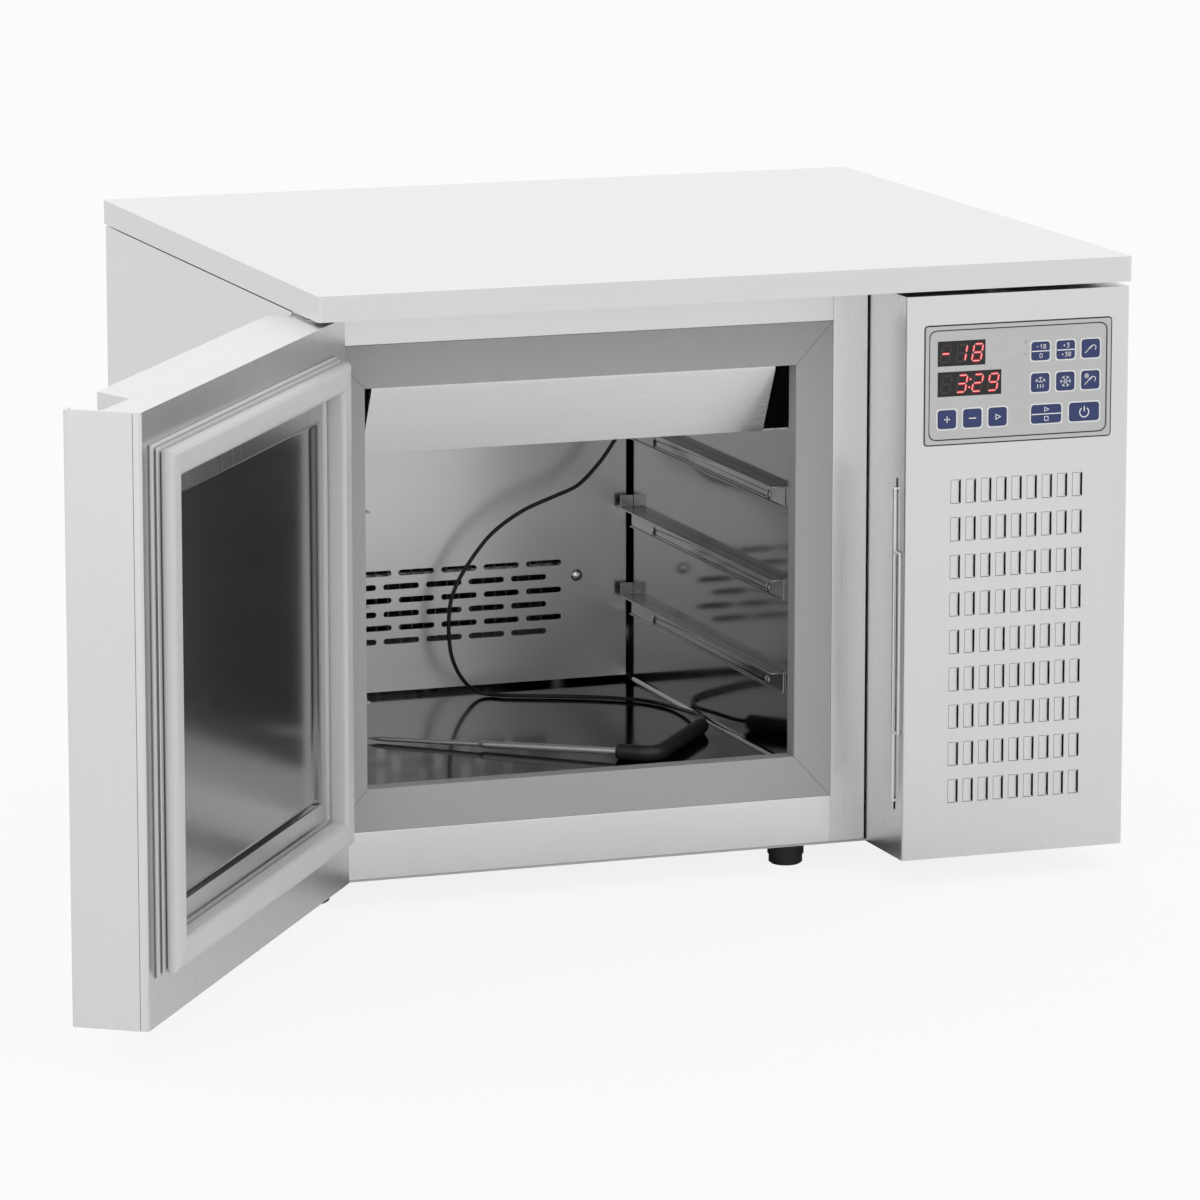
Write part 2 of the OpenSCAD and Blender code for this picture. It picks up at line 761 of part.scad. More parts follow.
module compressor_mounts() {
    color("#1d1d1f")
        for (sx = [-1, 1], sy = [-1, 1])
            translate([comp_at[0] + sx * mount_x, comp_at[1] + sy * mount_y, pan_t])
                rotate_extrude($fn = 32)
                    polygon([[0, 0], [13, 0], [13, 5], [10, 7], [10, 12], [12, 14],
                        [12, mount_h], [4.9, mount_h], [4.9, mount_h + 3],
                        [8, mount_h + 3], [7, mount_h + 6], [0, mount_h + 6]]);
}

cond_room = 31;
cond_w = bay_w - cond_room;
cond_y0 = y_front + 22;
cond_d = 46;
cond_z0 = 34;
cond_z1 = 286;
cond_fins = 30;

// Fin block on tubes between end plates that stand on the floor sheet
module condenser_coil() {
    x0 = housing_x - cond_w / 2;
    color("#aab0b4") {
        for (i = [0:cond_fins - 1])
            translate([x0 + cond_w * (i + 0.5) / cond_fins - 0.3, cond_y0, cond_z0])
                cube([0.6, cond_d, cond_z1 - cond_z0]);
        for (x = [x0, x0 + cond_w])
            box([x - 0.6, cond_y0, pan_t], [x + 0.6, cond_y0 + cond_d, cond_z1 + 3]);
    }
    color("#b87333")
        for (k = [0:5], j = [0:1])
            translate([x0 - 8, cond_y0 + 12 + j * 22, cond_z0 + 18 + k * 42])
                rotate([0, 90, 0]) cylinder(d = 8, h = cond_w + 16, $fn = 24);
}

shroud_t = 1.5;
shroud_y = cond_y0 + cond_d;

// Plate behind the condenser, standing on the floor sheet, with a ring round the fan
module condenser_shroud() {
    bore = cond_fan_d + 2 * fan_gap;
    color("#8d9195") difference() {
        union() {
            box([housing_x - cond_w / 2 - 2, shroud_y, pan_t],
                [housing_x + cond_w / 2 + 2, shroud_y + shroud_t, cond_z1]);
            translate([housing_x, shroud_y, cond_fan_z]) rotate([-90, 0, 0])
                cylinder(d = bore + 2 * shroud_t, h = 32, $fn = 96);
        }
        translate([housing_x, shroud_y - 1, cond_fan_z]) rotate([-90, 0, 0])
            cylinder(d = bore, h = 40, $fn = 96);
    }
}

module condenser_fan_rotor() {
    color("#34383d") translate([housing_x, shroud_y + 6, cond_fan_z]) rotate([-90, 0, 0])
        fan_rotor(cond_fan_d, 44, fan_hub_h, 18, 5);
}

// Motor behind the fan on a bar that crosses the shroud's ring
module condenser_fan_motor() {
    y = shroud_y + 6 + fan_hub_h + 2;
    r = cond_fan_d / 2 + fan_gap + shroud_t;
    color("#4a4e54") difference() {
        union() {
            translate([housing_x, y, cond_fan_z]) rotate([-90, 0, 0]) cylinder(d = 64, h = 38);
            for (a = [0, 120, 240])
                translate([housing_x, y + 2, cond_fan_z]) rotate([0, a, 0])
                    translate([-6, 0, 0]) cube([12, 3, r]);
        }
        translate([housing_x, y - 1, cond_fan_z]) rotate([-90, 0, 0])
            cylinder(r = 3 + shaft_clear, h = 20, $fn = 24);
    }
}

// Brazed copper lines and the filter drier, from the compressor to both coils
module refrigerant_pipes() {
    cx = comp_at[0] - comp_d / 2;
    cy = comp_at[1];
    px = housing_x0 + 11;
    fx = housing_x0 + 4.3;
    tube_x = housing_x - cond_w / 2 - 8;
    gas_y = cond_y0 + 34;
    gas_z = cond_z0 + 228;
    dz = 60;
    color("#b87333") difference() {
        union() {
            pipe([[cx + 5, cy - 10, 138], [px, cy - 10, 138], [px, pass_y - 6, 138],
                [px, pass_y - 6, pass_z], [liner_x1 - 23, pass_y - 6, pass_z]], 4);
            pipe([[cx + 6, cy + 14, 120], [fx, cy + 14, 120], [fx, y_case + 60, 120],
                [fx, y_case + 60, gas_z], [fx, gas_y, gas_z], [tube_x, gas_y, gas_z]], 3);
            pipe([[liner_x1 - 23, pass_y + 6, pass_z], [px, pass_y + 6, pass_z],
                [px, pass_y + 6, dz], [px, y_case + 130, dz], [px, y_case + 130, 30],
                [px, y_case + 30, 30], [fx, y_case + 30, 30], [fx, cond_y0 + 12, 30],
                [fx, cond_y0 + 12, cond_z0 + 18], [tube_x, cond_y0 + 12, cond_z0 + 18]], 2);
            translate([px, y_case + 60, 30]) rotate([-90, 0, 0]) cylinder(d = 18, h = 62);
        }
        translate([comp_at[0], cy, 100]) cylinder(r = comp_d / 2 - 1, h = 50, $fn = 64);
    }
}

// ---- Control housing ----

// One louvre: a tongue that leans in from a small step at its left edge, closed at both ends
module louvre_tongue() {
    mouth = 0.9;
    step = 0.45;
    tip = louvre_w - mouth;
    linear_extrude(louvre_h)
        polygon([[0, step], [tip, louvre_depth], [tip, louvre_depth + 0.8], [0, step + 0.8]]);
    for (z = [0, louvre_h - 0.8])
        translate([0, 0, z]) linear_extrude(0.8)
            polygon([[0, step], [tip, step], [tip, louvre_depth + 0.8]]);
}

louvre_x0 = housing_x - ((louvre_n - 1) * louvre_px + louvre_w) / 2;
function louvre_x(i) = louvre_x0 + i * louvre_px;
function louvre_z(j) = louvre_top - louvre_h - j * louvre_pz;

panel_cut = 0.6;
panel_r = 2;
rim_r = 4.5;
rod_x = housing_x0 - rod_r;
rod_y = y_front + 16;
rod_z0 = 44;
rod_z1 = 286;
hook_slot = [4, 10];

// The room inside the housing's shell, seen from above
module housing_hollow() {
    l = front_overhang + 30;
    translate([housing_x, y_front + sheet + l / 2])
        round_rect(housing_x1 - housing_x0 - 2 * sheet, l, housing_r - sheet / 2);
}

// Folded shell with round upright edges, a louvre field and the panel's opening
module housing_shell() {
    w = housing_x1 - housing_x0;
    color("#d6d8da") {
        difference() {
            translate([housing_x, y_front + front_overhang / 2 + 10, 0])
                linear_extrude(housing_z1) round_rect(w, front_overhang + 20, housing_r);
            translate([0, 0, -1]) linear_extrude(housing_z1 + 1 - sheet) housing_hollow();
            box([housing_x + w / 2 - 3, y_case, -1], [housing_x1 + 1, y_case + 21, housing_z1 + 1]);
            box([housing_x0 + 3, y_case, housing_z1 - 3], [housing_x1, y_case + 21, housing_z1 + 1]);
            box([housing_x0 - 1, y_liner + 5, -1], [housing_x1, y_case + 21, housing_z1 + 1]);
            box([housing_x0 - 1, y_case, case_h - 1.5], [housing_x1, y_case + 21, housing_z1 + 1]);
            box([housing_x0 - 1, y_case, -1], [housing_x1, y_case + 21, pan_t]);
            along_y(y_front - 1, sheet + 2) {
                translate([housing_x, panel_z])
                    round_rect(panel_w + 2 * panel_cut, panel_h + 2 * panel_cut, panel_r + panel_cut);
                for (i = [0:louvre_n - 1], j = [0:louvre_n - 1])
                    translate([louvre_x(i), louvre_z(j)]) square([louvre_w, louvre_h]);
            }
            for (z = [rod_z0 - 2, rod_z1])
                along_x(housing_x0 - 1, sheet + 2)
                    translate([rod_y, z]) square(hook_slot, center = true);
        }
        for (i = [0:louvre_n - 1], j = [0:louvre_n - 1])
            translate([louvre_x(i), y_front, louvre_z(j)]) louvre_tongue();
    }
}

bezel_t = 1.8;
rim_w = 2.7;
rim_rise = 0.6;

// Panel plate with a raised rim, openings for windows and keys, and board posts
module control_bezel() {
    back = y_front + bezel_t;
    color("#c9cbcc") translate([housing_x, 0, panel_z]) {
        along_y(y_front, bezel_t) difference() {
            round_rect(panel_w, panel_h, panel_r);
            for (k = KEYS)
                translate([k[1], k[2]])
                    round_rect(k[3] + 2 * key_clear, key_h + 2 * key_clear, key_r + key_clear);
            for (v = WINDOWS)
                translate([v[0], v[1]]) square([v[2], v[3]], center = true);
        }
        along_y(y_front - rim_rise, rim_rise) difference() {
            round_rect(panel_w, panel_h, panel_r);
            round_rect(panel_w - 2 * rim_w, panel_h - 2 * rim_w, rim_r);
        }
        along_y(y_front + sheet, bezel_t - sheet) difference() {
            round_rect(panel_w + 8, panel_h + 8, 5);
            round_rect(panel_w - 1, panel_h - 1, panel_r);
        }
        for (sx = [-1, 1], sz = [-1, 1])
            translate([sx * (panel_w / 2 - 4), back - eps, sz * (panel_h / 2 - 4)])
                rotate([-90, 0, 0]) cylinder(d = 5, h = board_y - back + eps, $fn = 24);
    }
}

// Two dark windows, each with a lip glued behind the panel plate
module display_windows() {
    color("#25282c") translate([housing_x, 0, panel_z])
        for (v = WINDOWS)
            translate([v[0], 0, v[1]]) {
                along_y(y_front + 0.1, bezel_t - 0.1) square([v[2], v[3]], center = true);
                along_y(y_front + bezel_t, 1) square([v[2] + 3, v[3] + 2], center = true);
            }
}

board_y = y_front + 7;
switch_gap = 0.1;
key_back = y_front + bezel_t + 1.25;

// Circuit board on the panel's posts, with a switch behind each key and two displays
module control_board() {
    color("#2f6b3c") translate([housing_x, 0, panel_z]) {
        along_y(board_y, 1.6) square([panel_w - 2, panel_h - 2], center = true);
        for (k = KEYS)
            translate([k[1], 0, k[2]]) {
                along_y(key_back + key_travel + switch_gap, board_y - key_back - key_travel)
                    circle(d = 3.4, $fn = 24);
                along_y(board_y - 1.8, 2) square(6, center = true);
            }
        for (v = WINDOWS)
            translate([v[0], 0, v[1]])
                along_y(y_front + bezel_t + 1, 4.4) square([v[2] - 2, v[3] - 1], center = true);
    }
}

// A key cap with round corners and a flange that keeps it behind the plate
module key(n) {
    k = KEYS[n];
    color("#1f2b57") translate([housing_x + k[1], 0, panel_z + k[2]]) {
        along_y(y_front - 0.4, key_back - y_front + 0.4) round_rect(k[3], key_h, key_r);
        along_y(key_back - 1.2, 1.2) round_rect(k[3] + 2, key_h + 2, key_r + 1);
    }
}

// Probe holder: a long rod hooked into the housing's side, with a second wire before it
module wire_bracket() {
    r2 = 1.25;
    x2 = housing_x0 - r2 - 0.5;
    y2 = y_front + 6;
    color("#d9dbdd") {
        pipe([[housing_x0 + 4, rod_y, rod_z0], [rod_x, rod_y, rod_z0],
            [rod_x, rod_y, rod_z1 - 3], [housing_x0 + 4, rod_y, rod_z1 - 3]], rod_r - 0.02);
        pipe([[x2, rod_y, 97], [x2, y2, 97], [x2, y2, 235], [x2, rod_y, 235]], r2);
    }
}

// Stepped feet: four under the cabinet and two under the condensing unit
module feet() {
    color("#6d7074")
        for (x = [case_l + 22, frame_x1 - 24, case_r - 22], y = [y_case + 32, y_rear - 40])
            translate([x, y, -foot_h]) rotate_extrude()
                polygon([[0, 0], [foot_d / 2 - 3, 0], [foot_d / 2 - 1, 1.5],
                    [foot_d / 2 - 1, foot_h - 12], [foot_d / 2, foot_h - 12],
                    [foot_d / 2, foot_h], [0, foot_h]]);
}

// ---- Door ----

// Turns what is drawn shut about the hinge pin, and sets u, t and z to the door's corner
module at_door() {
    translate([pivot_x, pivot_y, 0]) rotate([0, 0, -door_angle])
        translate([case_l - pivot_x, y_front - pivot_y, door_z0])
            children();
}

// The door seen from above, with the handle channel along its free end
module door_outline() {
    w = door_w;
    t = door_t;
    floor_t = grip_depth - 1.6;
    polygon(concat(
        arc([door_r, door_r], door_r, 180, 270, 6),
        [[w - grip_w, 0], [w - grip_w + grip_slope, grip_depth],
         [w - grip_flange, floor_t], [w - grip_flange, grip_lip + 2],
         [w - grip_hem, grip_lip + 2], [w - grip_hem, grip_lip]],
        arc([w - 1.5, grip_lip + 1.5], 1.5, -90, 0, 3),
        arc([w - 3, t - 3], 3, 0, 90, 4),
        [[0, t]]));
}

// The room for foam inside the skin
module door_hollow() {
    intersection() {
        offset(delta = -sheet) door_outline();
        union() {
            square([door_w - grip_w + grip_slope, door_t - sheet]);
            translate([0, grip_depth + sheet])
                square([door_w, door_t - grip_depth - 2 * sheet]);
        }
    }
}

// The skin's opening behind the gasket: its limits from the hinge and from below
win_in = 5;
win_u = [gasket_hinge + win_in, door_w - gasket_free - win_in];
win_z = [gasket_foot + win_in, door_h - gasket_head - win_in];

// Folded stainless skin, open where the inner panel sits, with holes for the bushes
module door_skin() {
    color("#dcdee0") at_door() difference() {
        linear_extrude(door_h) door_outline();
        translate([0, 0, sheet]) linear_extrude(door_h - 2 * sheet) door_hollow();
        box([win_u[0], door_t - sheet - 1, win_z[0]], [win_u[1], door_t + 1, win_z[1]]);
        for (z = [-1, door_h - 3])
            translate([hinge_in, door_t - hinge_back, z]) cylinder(d = bush_d, h = 4);
    }
}

// A block inside the gasket's ring: o in from its inner edge, between two heights over
// the door's inner face
module inner_block(o, h0, h1) {
    i = gasket_w + o;
    box([gasket_hinge + i, door_t + h0, gasket_foot + i],
        [door_w - gasket_free - i, door_t + h1, door_h - gasket_head - i]);
}

// A square ring between two such blocks
module inner_ring(o0, o1, h0, h1) {
    difference() {
        inner_block(o0, h0, h1);
        inner_block(o1, h0 - 1, h1 + 1);
    }
}

module door_foam() {
    color("#f1e6b8") at_door() {
        difference() {
            translate([0, 0, sheet]) linear_extrude(door_h - 2 * sheet) door_hollow();
            inner_block(border_w, border_rise - field_drop - sheet, 1);
            for (z = [0, door_h - bush_l])
                translate([hinge_in, door_t - hinge_back, z]) cylinder(d = bush_d, h = bush_l);
        }
        inner_ring(bead_in + bead_w, border_w, -sheet - 0.1, border_rise - sheet);
    }
}

bead_in = 0.6;
bead_w = 3;
bead_rise = 3;

// Pressed inner panel: a bead beside the gasket, a raised border and a polished field
// that is pressed in
module door_inner_panel() {
    drop = border_rise - field_drop;
    color("#55585c") at_door() difference() {
        union() {
            box([win_u[0], door_t - sheet, win_z[0]], [win_u[1], door_t, win_z[1]]);
            inner_ring(bead_in, bead_in + bead_w, -sheet, bead_rise);
            inner_ring(bead_in + bead_w, border_w + sheet, -sheet, border_rise);
            inner_block(border_w, drop - sheet, 0);
        }
        inner_ring(bead_in + bead_w, border_w, -sheet - 1, border_rise - sheet);
        inner_block(border_w + sheet, drop, border_rise + 1);
    }
}

magnet_s = 13.6;
magnet_w = 10;

// The gasket's section: s from its outer edge, height from the door's face. Two ribs and
// a groove lead up to the bulb's bulging side and its flat face.
module gasket_section() {
    h = gasket_t;
    w = gasket_w;
    difference() {
        polygon(concat([[0, 0], [0, 2.2], [1.3, 2.6], [2.6, 2.9], [1.9, 3.4], [1.8, 5],
            [4.4, 5.5], [5, 6.2], [3.9, 7.6], [3.2, 9.6], [3.4, 11.4]],
            arc([7.8, h - 4.4], 4.4, 170, 90, 6), arc([w - 2.5, h - 2.5], 2.5, 90, 0, 4),
            [[w, 0]]));
        translate([magnet_s - magnet_w / 2, h - 5]) square([magnet_w, 3.2]);
        translate([6.6, 2.4]) square([w - 8.6, h - 9]);
    }
}

// One side of the gasket, mitred at both ends
module gasket_side_bar(l) {
    intersection() {
        along_x(0, l) gasket_section();
        translate([0, 0, -1]) linear_extrude(gasket_t + 2)
            polygon([[0, 0], [l, 0], [l - gasket_w, gasket_w], [gasket_w, gasket_w]]);
    }
}

// Sets a piece drawn flat on the door's inner face, X towards the hinge and Z inward
module on_inner_face() {
    translate([door_w - gasket_free, door_t, gasket_foot]) rotate([90, 0, 180])
        children();
}

// Four mitred bars welded into one ring, with a hollow bulb that holds the magnets
module door_gasket() {
    color("#b9bbbb") at_door() on_inner_face() {
        gasket_side_bar(gasket_l);
        translate([gasket_l, 0, 0]) rotate([0, 0, 90]) gasket_side_bar(gasket_up);
        translate([gasket_l, gasket_up, 0]) rotate([0, 0, 180]) gasket_side_bar(gasket_l);
        translate([0, gasket_up, 0]) rotate([0, 0, -90]) gasket_side_bar(gasket_up);
    }
}

module magnet(l) {
    half = magnet_w / 2 - 0.1;
    box([gasket_w, magnet_s - half, gasket_t - 4.9],
        [l - gasket_w, magnet_s + half, gasket_t - 1.9]);
}

module gasket_magnets() {
    color("#3a3a3a") at_door() on_inner_face() {
        magnet(gasket_l);
        translate([gasket_l, 0, 0]) rotate([0, 0, 90]) magnet(gasket_up);
        translate([gasket_l, gasket_up, 0]) rotate([0, 0, 180]) magnet(gasket_l);
        translate([0, gasket_up, 0]) rotate([0, 0, -90]) magnet(gasket_up);
    }
}

bracket_w = 17;
bracket_t = 3;
top_leg_t = 1.5;
top_leg_z = door_z1 + 0.5;

// One hinge bracket: an upright leg on the stile and a level leg round the pin
module hinge_bracket(z, leg_t, z0, z1) {
    box([case_l + sheet, y_case - bracket_t, z0], [case_l + sheet + bracket_w, y_case, z1]);
    translate([0, 0, z]) linear_extrude(leg_t) {
        translate([case_l + sheet, pivot_y])
            square([bracket_w, y_case - pivot_y]);
        translate([case_l + sheet + bracket_w / 2, pivot_y]) circle(d = bracket_w);
    }
}

// Upper and lower brackets with their pins pressed in
module hinge_brackets() {
    color("#c0c3c6") {
        hinge_bracket(top_leg_z, top_leg_t, case_h - 22, top_leg_z + top_leg_t);
        hinge_bracket(door_z0 - 4, bracket_t, door_z0 - 4, door_z0 + 20);
        translate([pivot_x, pivot_y, door_z1 - bush_l + 2])
            cylinder(d = pin_d, h = top_leg_z - door_z1 + bush_l - 2 + eps);
        translate([pivot_x, pivot_y, door_z0 - 1 - eps])
            cylinder(d = pin_d, h = bush_l - 2 + 1 + eps);
    }
}

// Plastic bushes in the door's ends; the lower one has the washer that carries the door
module hinge_bushes() {
    color("#e6e2d6") at_door() translate([hinge_in, door_t - hinge_back, 0])
        difference() {
            union() {
                cylinder(d = bush_d, h = bush_l);
                translate([0, 0, -0.9]) cylinder(d = 16, h = 0.9);
                translate([0, 0, door_h - bush_l]) cylinder(d = bush_d, h = bush_l);
            }
            for (z = [-2, door_h - bush_l + 1])
                translate([0, 0, z]) cylinder(r = pin_d / 2 + pin_clear, h = bush_l + 1);
        }
}

// ---- Probe ----

grip_r = probe_grip_d / 2;
probe_z = liner_z0 + grip_r + 0.1;
bend_r = 12;
needle_tilt = 1;
grip_end_r = 2.5;

// Sets the needle along +X and the cord's leg along -Y, about the handle's bend
module at_probe() {
    translate([probe_at[0], probe_at[1], probe_z]) rotate([0, 0, probe_turn]) children();
}

// Stainless needle in two diameters, with a pointed end
module probe_needle() {
    color("#d4d6d8") at_probe() translate([probe_neck, 0, 0]) rotate([0, 90 + needle_tilt, 0])
        rotate_extrude($fn = 32)
            polygon([[0, 0], [3, 0], [3, 108], [needle_d / 2, 112],
                [needle_d / 2, probe_l - probe_neck - 12], [0, probe_l - probe_neck]]);
}

// Half a leg's outline, up to its blunt round end
module grip_profile(l) {
    polygon(concat([[0, 0], [grip_r, 0]],
        arc([grip_r - grip_end_r, l - grip_end_r], grip_end_r, 0, 90, 5), [[0, l]]));
}

// Angled handle: a short leg to the needle and a long one that the cord leaves
module probe_handle() {
    color("#2b2d30") at_probe() {
        translate([bend_r, 0, 0]) rotate([0, 90, 0]) rotate_extrude($fn = 32)
            grip_profile(probe_neck - bend_r);
        translate([0, -bend_r, 0]) rotate([90, 0, 0]) rotate_extrude($fn = 32)
            grip_profile(probe_leg - bend_r);
        translate([bend_r, -bend_r, 0]) rotate([0, 0, 90])
            rotate_extrude(angle = 90, $fn = 48) translate([bend_r, 0]) circle(grip_r, $fn = 32);
    }
}

// A smooth curve through the route's points, two rings to a span
function spline(p, i, t) =
    let (a = p[max(i - 1, 0)], b = p[i], c = p[i + 1], d = p[min(i + 2, len(p) - 1)])
    0.5 * (2 * b + (c - a) * t + (2 * a - 5 * b + 4 * c - d) * t * t
           + (3 * b - a - 3 * c + d) * t * t * t);
cord_path = concat([for (i = [0:len(CORD) - 2], t = [0, 0.5]) spline(CORD, i, t)],
    [CORD[len(CORD) - 1]]);
cord_n = len(cord_path);
cord_heading = [for (i = [0:cord_n - 1])
    unit(cord_path[min(i + 1, cord_n - 1)] - cord_path[max(i - 1, 0)])];
// Each ring's first spoke is the last one's, laid square to the new heading
cord_side = [for (i = 0, s = [0, 1, 0]; i < cord_n;
    i = i + 1, s = i < cord_n ? unit(s - (s * cord_heading[i]) * cord_heading[i]) : s) s];
cord_sides = 8;

// Thin tube swept along the route
module probe_cord() {
    rings = [for (i = [0:cord_n - 1], k = [0:cord_sides - 1])
        let (a = k * 360 / cord_sides, s = cord_side[i], u = cross(cord_heading[i], s))
        cord_path[i] + cord_d / 2 * (cos(a) * s + sin(a) * u)];
    walls = [for (i = [0:cord_n - 2], k = [0:cord_sides - 1], half = [0, 1])
        let (p = i * cord_sides, m = (k + 1) % cord_sides)
        half == 0 ? [p + k, p + m, p + cord_sides + m]
                  : [p + k, p + cord_sides + m, p + cord_sides + k]];
    last = (cord_n - 1) * cord_sides;
    ends = [[for (k = [0:cord_sides - 1]) cord_sides - 1 - k],
        [for (k = [0:cord_sides - 1]) last + k]];
    color("#3a3d40") polyhedron(rings, [for (f = concat(walls, ends))
        [for (j = [len(f) - 1:-1:0]) f[j]]]);
}

gland_thread = 8;
gland_d = 14;

// Moulded gland in the right wall that the probe's cord leaves
module cord_gland() {
    color("#303236") translate([liner_x1, CORD[0][1], CORD[0][2]]) rotate([0, 90, 0])
        difference() {
            rotate_extrude($fn = 32)
                polygon([[0, -7], [2.8, -7], [5, -3.5], [6, -3.5], [6, 0],
                    [gland_thread / 2, 0], [gland_thread / 2, 12], [0, 12]]);
            translate([0, 0, -8]) cylinder(d = cord_d, h = 12, $fn = 24);
        }
}

gland_at = [case_r - 60, 50];

// Inlet gland for the supply lead in the rear panel
module mains_gland() {
    color("#1c1d1f") translate([gland_at[0], y_wall, gland_at[1]]) rotate([-90, 0, 0])
        difference() {
            rotate_extrude($fn = 32)
                polygon([[0, -12], [gland_d / 2, -12], [gland_d / 2, sheet], [12, sheet],
                    [12, sheet + 4], [9, sheet + 6], [7, sheet + 16], [0, sheet + 16]]);
            translate([0, 0, -13]) cylinder(d = 8, h = 40, $fn = 24);
        }
}

worktop();
left_side_panel();
right_side_panel();
rear_panel();
base_pan();
top_closure();
partition();
insulation_foam();
upper_rail();
lower_rail();
hinge_stile();
mullion();
breaker_frame();
inner_liner();
evaporator_cover();
air_duct_panel();
tray_runners();
panel_screws();
evaporator_coil();
evaporator_fan_rotor();
evaporator_fan_motor();
evaporator_fan_guard();
drain_spout();
compressor();
compressor_mounts();
condenser_coil();
condenser_shroud();
condenser_fan_rotor();
condenser_fan_motor();
refrigerant_pipes();
housing_shell();
control_bezel();
display_windows();
control_board();
key(0);  // key_plus
key(1);  // key_minus
key(2);  // key_set
key(3);  // key_chill_time
key(4);  // key_freeze_time
key(5);  // key_chill_probe
key(6);  // key_defrost
key(7);  // key_freeze
key(8);  // key_freeze_probe
key(9);  // key_start_stop
key(10);  // key_power
wire_bracket();
feet();
hinge_brackets();
hinge_bushes();
door_skin();
door_foam();
door_inner_panel();
door_gasket();
gasket_magnets();
probe_needle();
probe_handle();
probe_cord();
cord_gland();
mains_gland();
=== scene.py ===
# %% [markdown]
# # A countertop blast chiller, finished in Blender
# The machine is mostly folded stainless sheet: a worktop, a cabinet with a bright
# chamber, a thick door on a hinge and a control housing. Its construction comes from
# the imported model, in metres and in place. This script adds what a solid can't hold:
# the finish of every surface, the soft door seal, the printed marks, the lit digits
# and the probe's thin cord. Each piece rides on the body that carries it.

# %% Load the frame
import math
import bpy
import numpy as np
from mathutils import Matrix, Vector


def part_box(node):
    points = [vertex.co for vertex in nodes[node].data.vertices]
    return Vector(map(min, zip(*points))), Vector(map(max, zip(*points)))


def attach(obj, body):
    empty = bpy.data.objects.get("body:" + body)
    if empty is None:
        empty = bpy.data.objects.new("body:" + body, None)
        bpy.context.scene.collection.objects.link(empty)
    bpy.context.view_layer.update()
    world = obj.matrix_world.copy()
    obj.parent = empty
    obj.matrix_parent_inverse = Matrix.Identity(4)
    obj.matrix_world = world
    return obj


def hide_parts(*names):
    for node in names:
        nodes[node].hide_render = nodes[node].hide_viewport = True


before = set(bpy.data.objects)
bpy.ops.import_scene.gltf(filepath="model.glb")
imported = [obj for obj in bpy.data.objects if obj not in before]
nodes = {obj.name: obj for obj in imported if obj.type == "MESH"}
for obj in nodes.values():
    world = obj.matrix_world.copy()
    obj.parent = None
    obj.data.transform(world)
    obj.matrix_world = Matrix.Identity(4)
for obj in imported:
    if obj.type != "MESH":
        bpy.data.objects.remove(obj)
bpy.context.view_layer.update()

scene = bpy.context.scene
MM = 0.001

# %% [markdown]
# ## Camera
# The photograph was taken from a little above and to the left with a long lens, so
# upright edges stay almost parallel. A camera that stands almost 5 m away with a
# 193 mm lens on a 36 mm sensor gives the same convergence. Its place was fitted to the
# object's edges, so nothing has to be shifted.

# %% Camera at the photograph's viewpoint
CAMERA_AT = (-1.67395, -4.67252, 1.11104)
AZIMUTH, ELEVATION = -19.7, 10.88
camera_data = bpy.data.cameras.new("camera")
camera_data.sensor_width = 36
camera_data.lens = 193.14
camera_data.clip_start, camera_data.clip_end = 0.1, 50
camera = bpy.data.objects.new("camera", camera_data)
camera.location = CAMERA_AT
camera.rotation_euler = (math.radians(90 - ELEVATION), 0, math.radians(AZIMUTH))
scene.collection.objects.link(camera)
scene.camera = camera
print("camera", CAMERA_AT, "lens", camera_data.lens)

# %% [markdown]
# ## Helpers for meshes
# Every new shape is a grid of points worked out by one formula for whole arrays, so
# one helper turns a grid into faces. It can close the grid round in either direction
# and can cap its ends. A closed shell encloses a positive volume when its faces point
# outwards, so the sign of that volume tells whether they must be turned round.

# %% Grids to meshes
def grid_faces(rows, columns, round_rows=False, round_columns=False):
    """Quads between neighbours of a rows x columns grid, as an (n, 4) array."""
    r = np.arange(rows if round_rows else rows - 1)
    c = np.arange(columns if round_columns else columns - 1)
    r, c = (v.ravel() for v in np.meshgrid(r, c, indexing="ij"))
    r1, c1 = (r + 1) % rows, (c + 1) % columns
    return np.stack([r * columns + c, r * columns + c1,
                     r1 * columns + c1, r1 * columns + c], 1)


def shell(points, round_rows=False, round_columns=False, caps=False):
    """Vertices and faces of points[row, column]. Six times the volume is the sum of
    a . (b x c) over triangles; where it is negative, each face is turned round."""
    rows, columns = points.shape[:2]
    flat = points.reshape(-1, 3)
    quads = grid_faces(rows, columns, round_rows, round_columns)
    a, b, c, d = (flat[quads[:, k]] for k in range(4))
    volume = np.sum(a * np.cross(b, c)) + np.sum(a * np.cross(c, d))
    faces = quads.tolist()
    if caps:
        first = np.arange(columns)[::-1]
        last = (rows - 1) * columns + np.arange(columns)
        for ring in (first, last):
            corner = flat[ring]
            volume += np.sum(corner[0] * np.cross(corner[1:-1], corner[2:]))
            faces.append(ring.tolist())
    closed = caps or (round_rows and round_columns)
    if closed and volume < 0:
        faces = [face[::-1] for face in faces]
    return flat, faces


print("grid helpers ready")

# %% [markdown]
# ## From shells to a piece
# A piece may hold many shells, such as all the strokes of a sign, so they are joined
# into one mesh before an object is made of it. The same few lines then shade it, give
# it its material and name the body that carries it.

# %% Shells to a piece
def mesh_of(name, shells):
    """One mesh that holds all the given shells side by side."""
    starts = np.cumsum([0] + [len(points) for points, _ in shells])
    points = np.concatenate([points for points, _ in shells])
    faces = [[int(start) + v for v in face]
             for start, (_, some) in zip(starts, shells) for face in some]
    mesh = bpy.data.meshes.new(name)
    mesh.from_pydata(points.tolist(), [], faces)
    mesh.update()
    return mesh


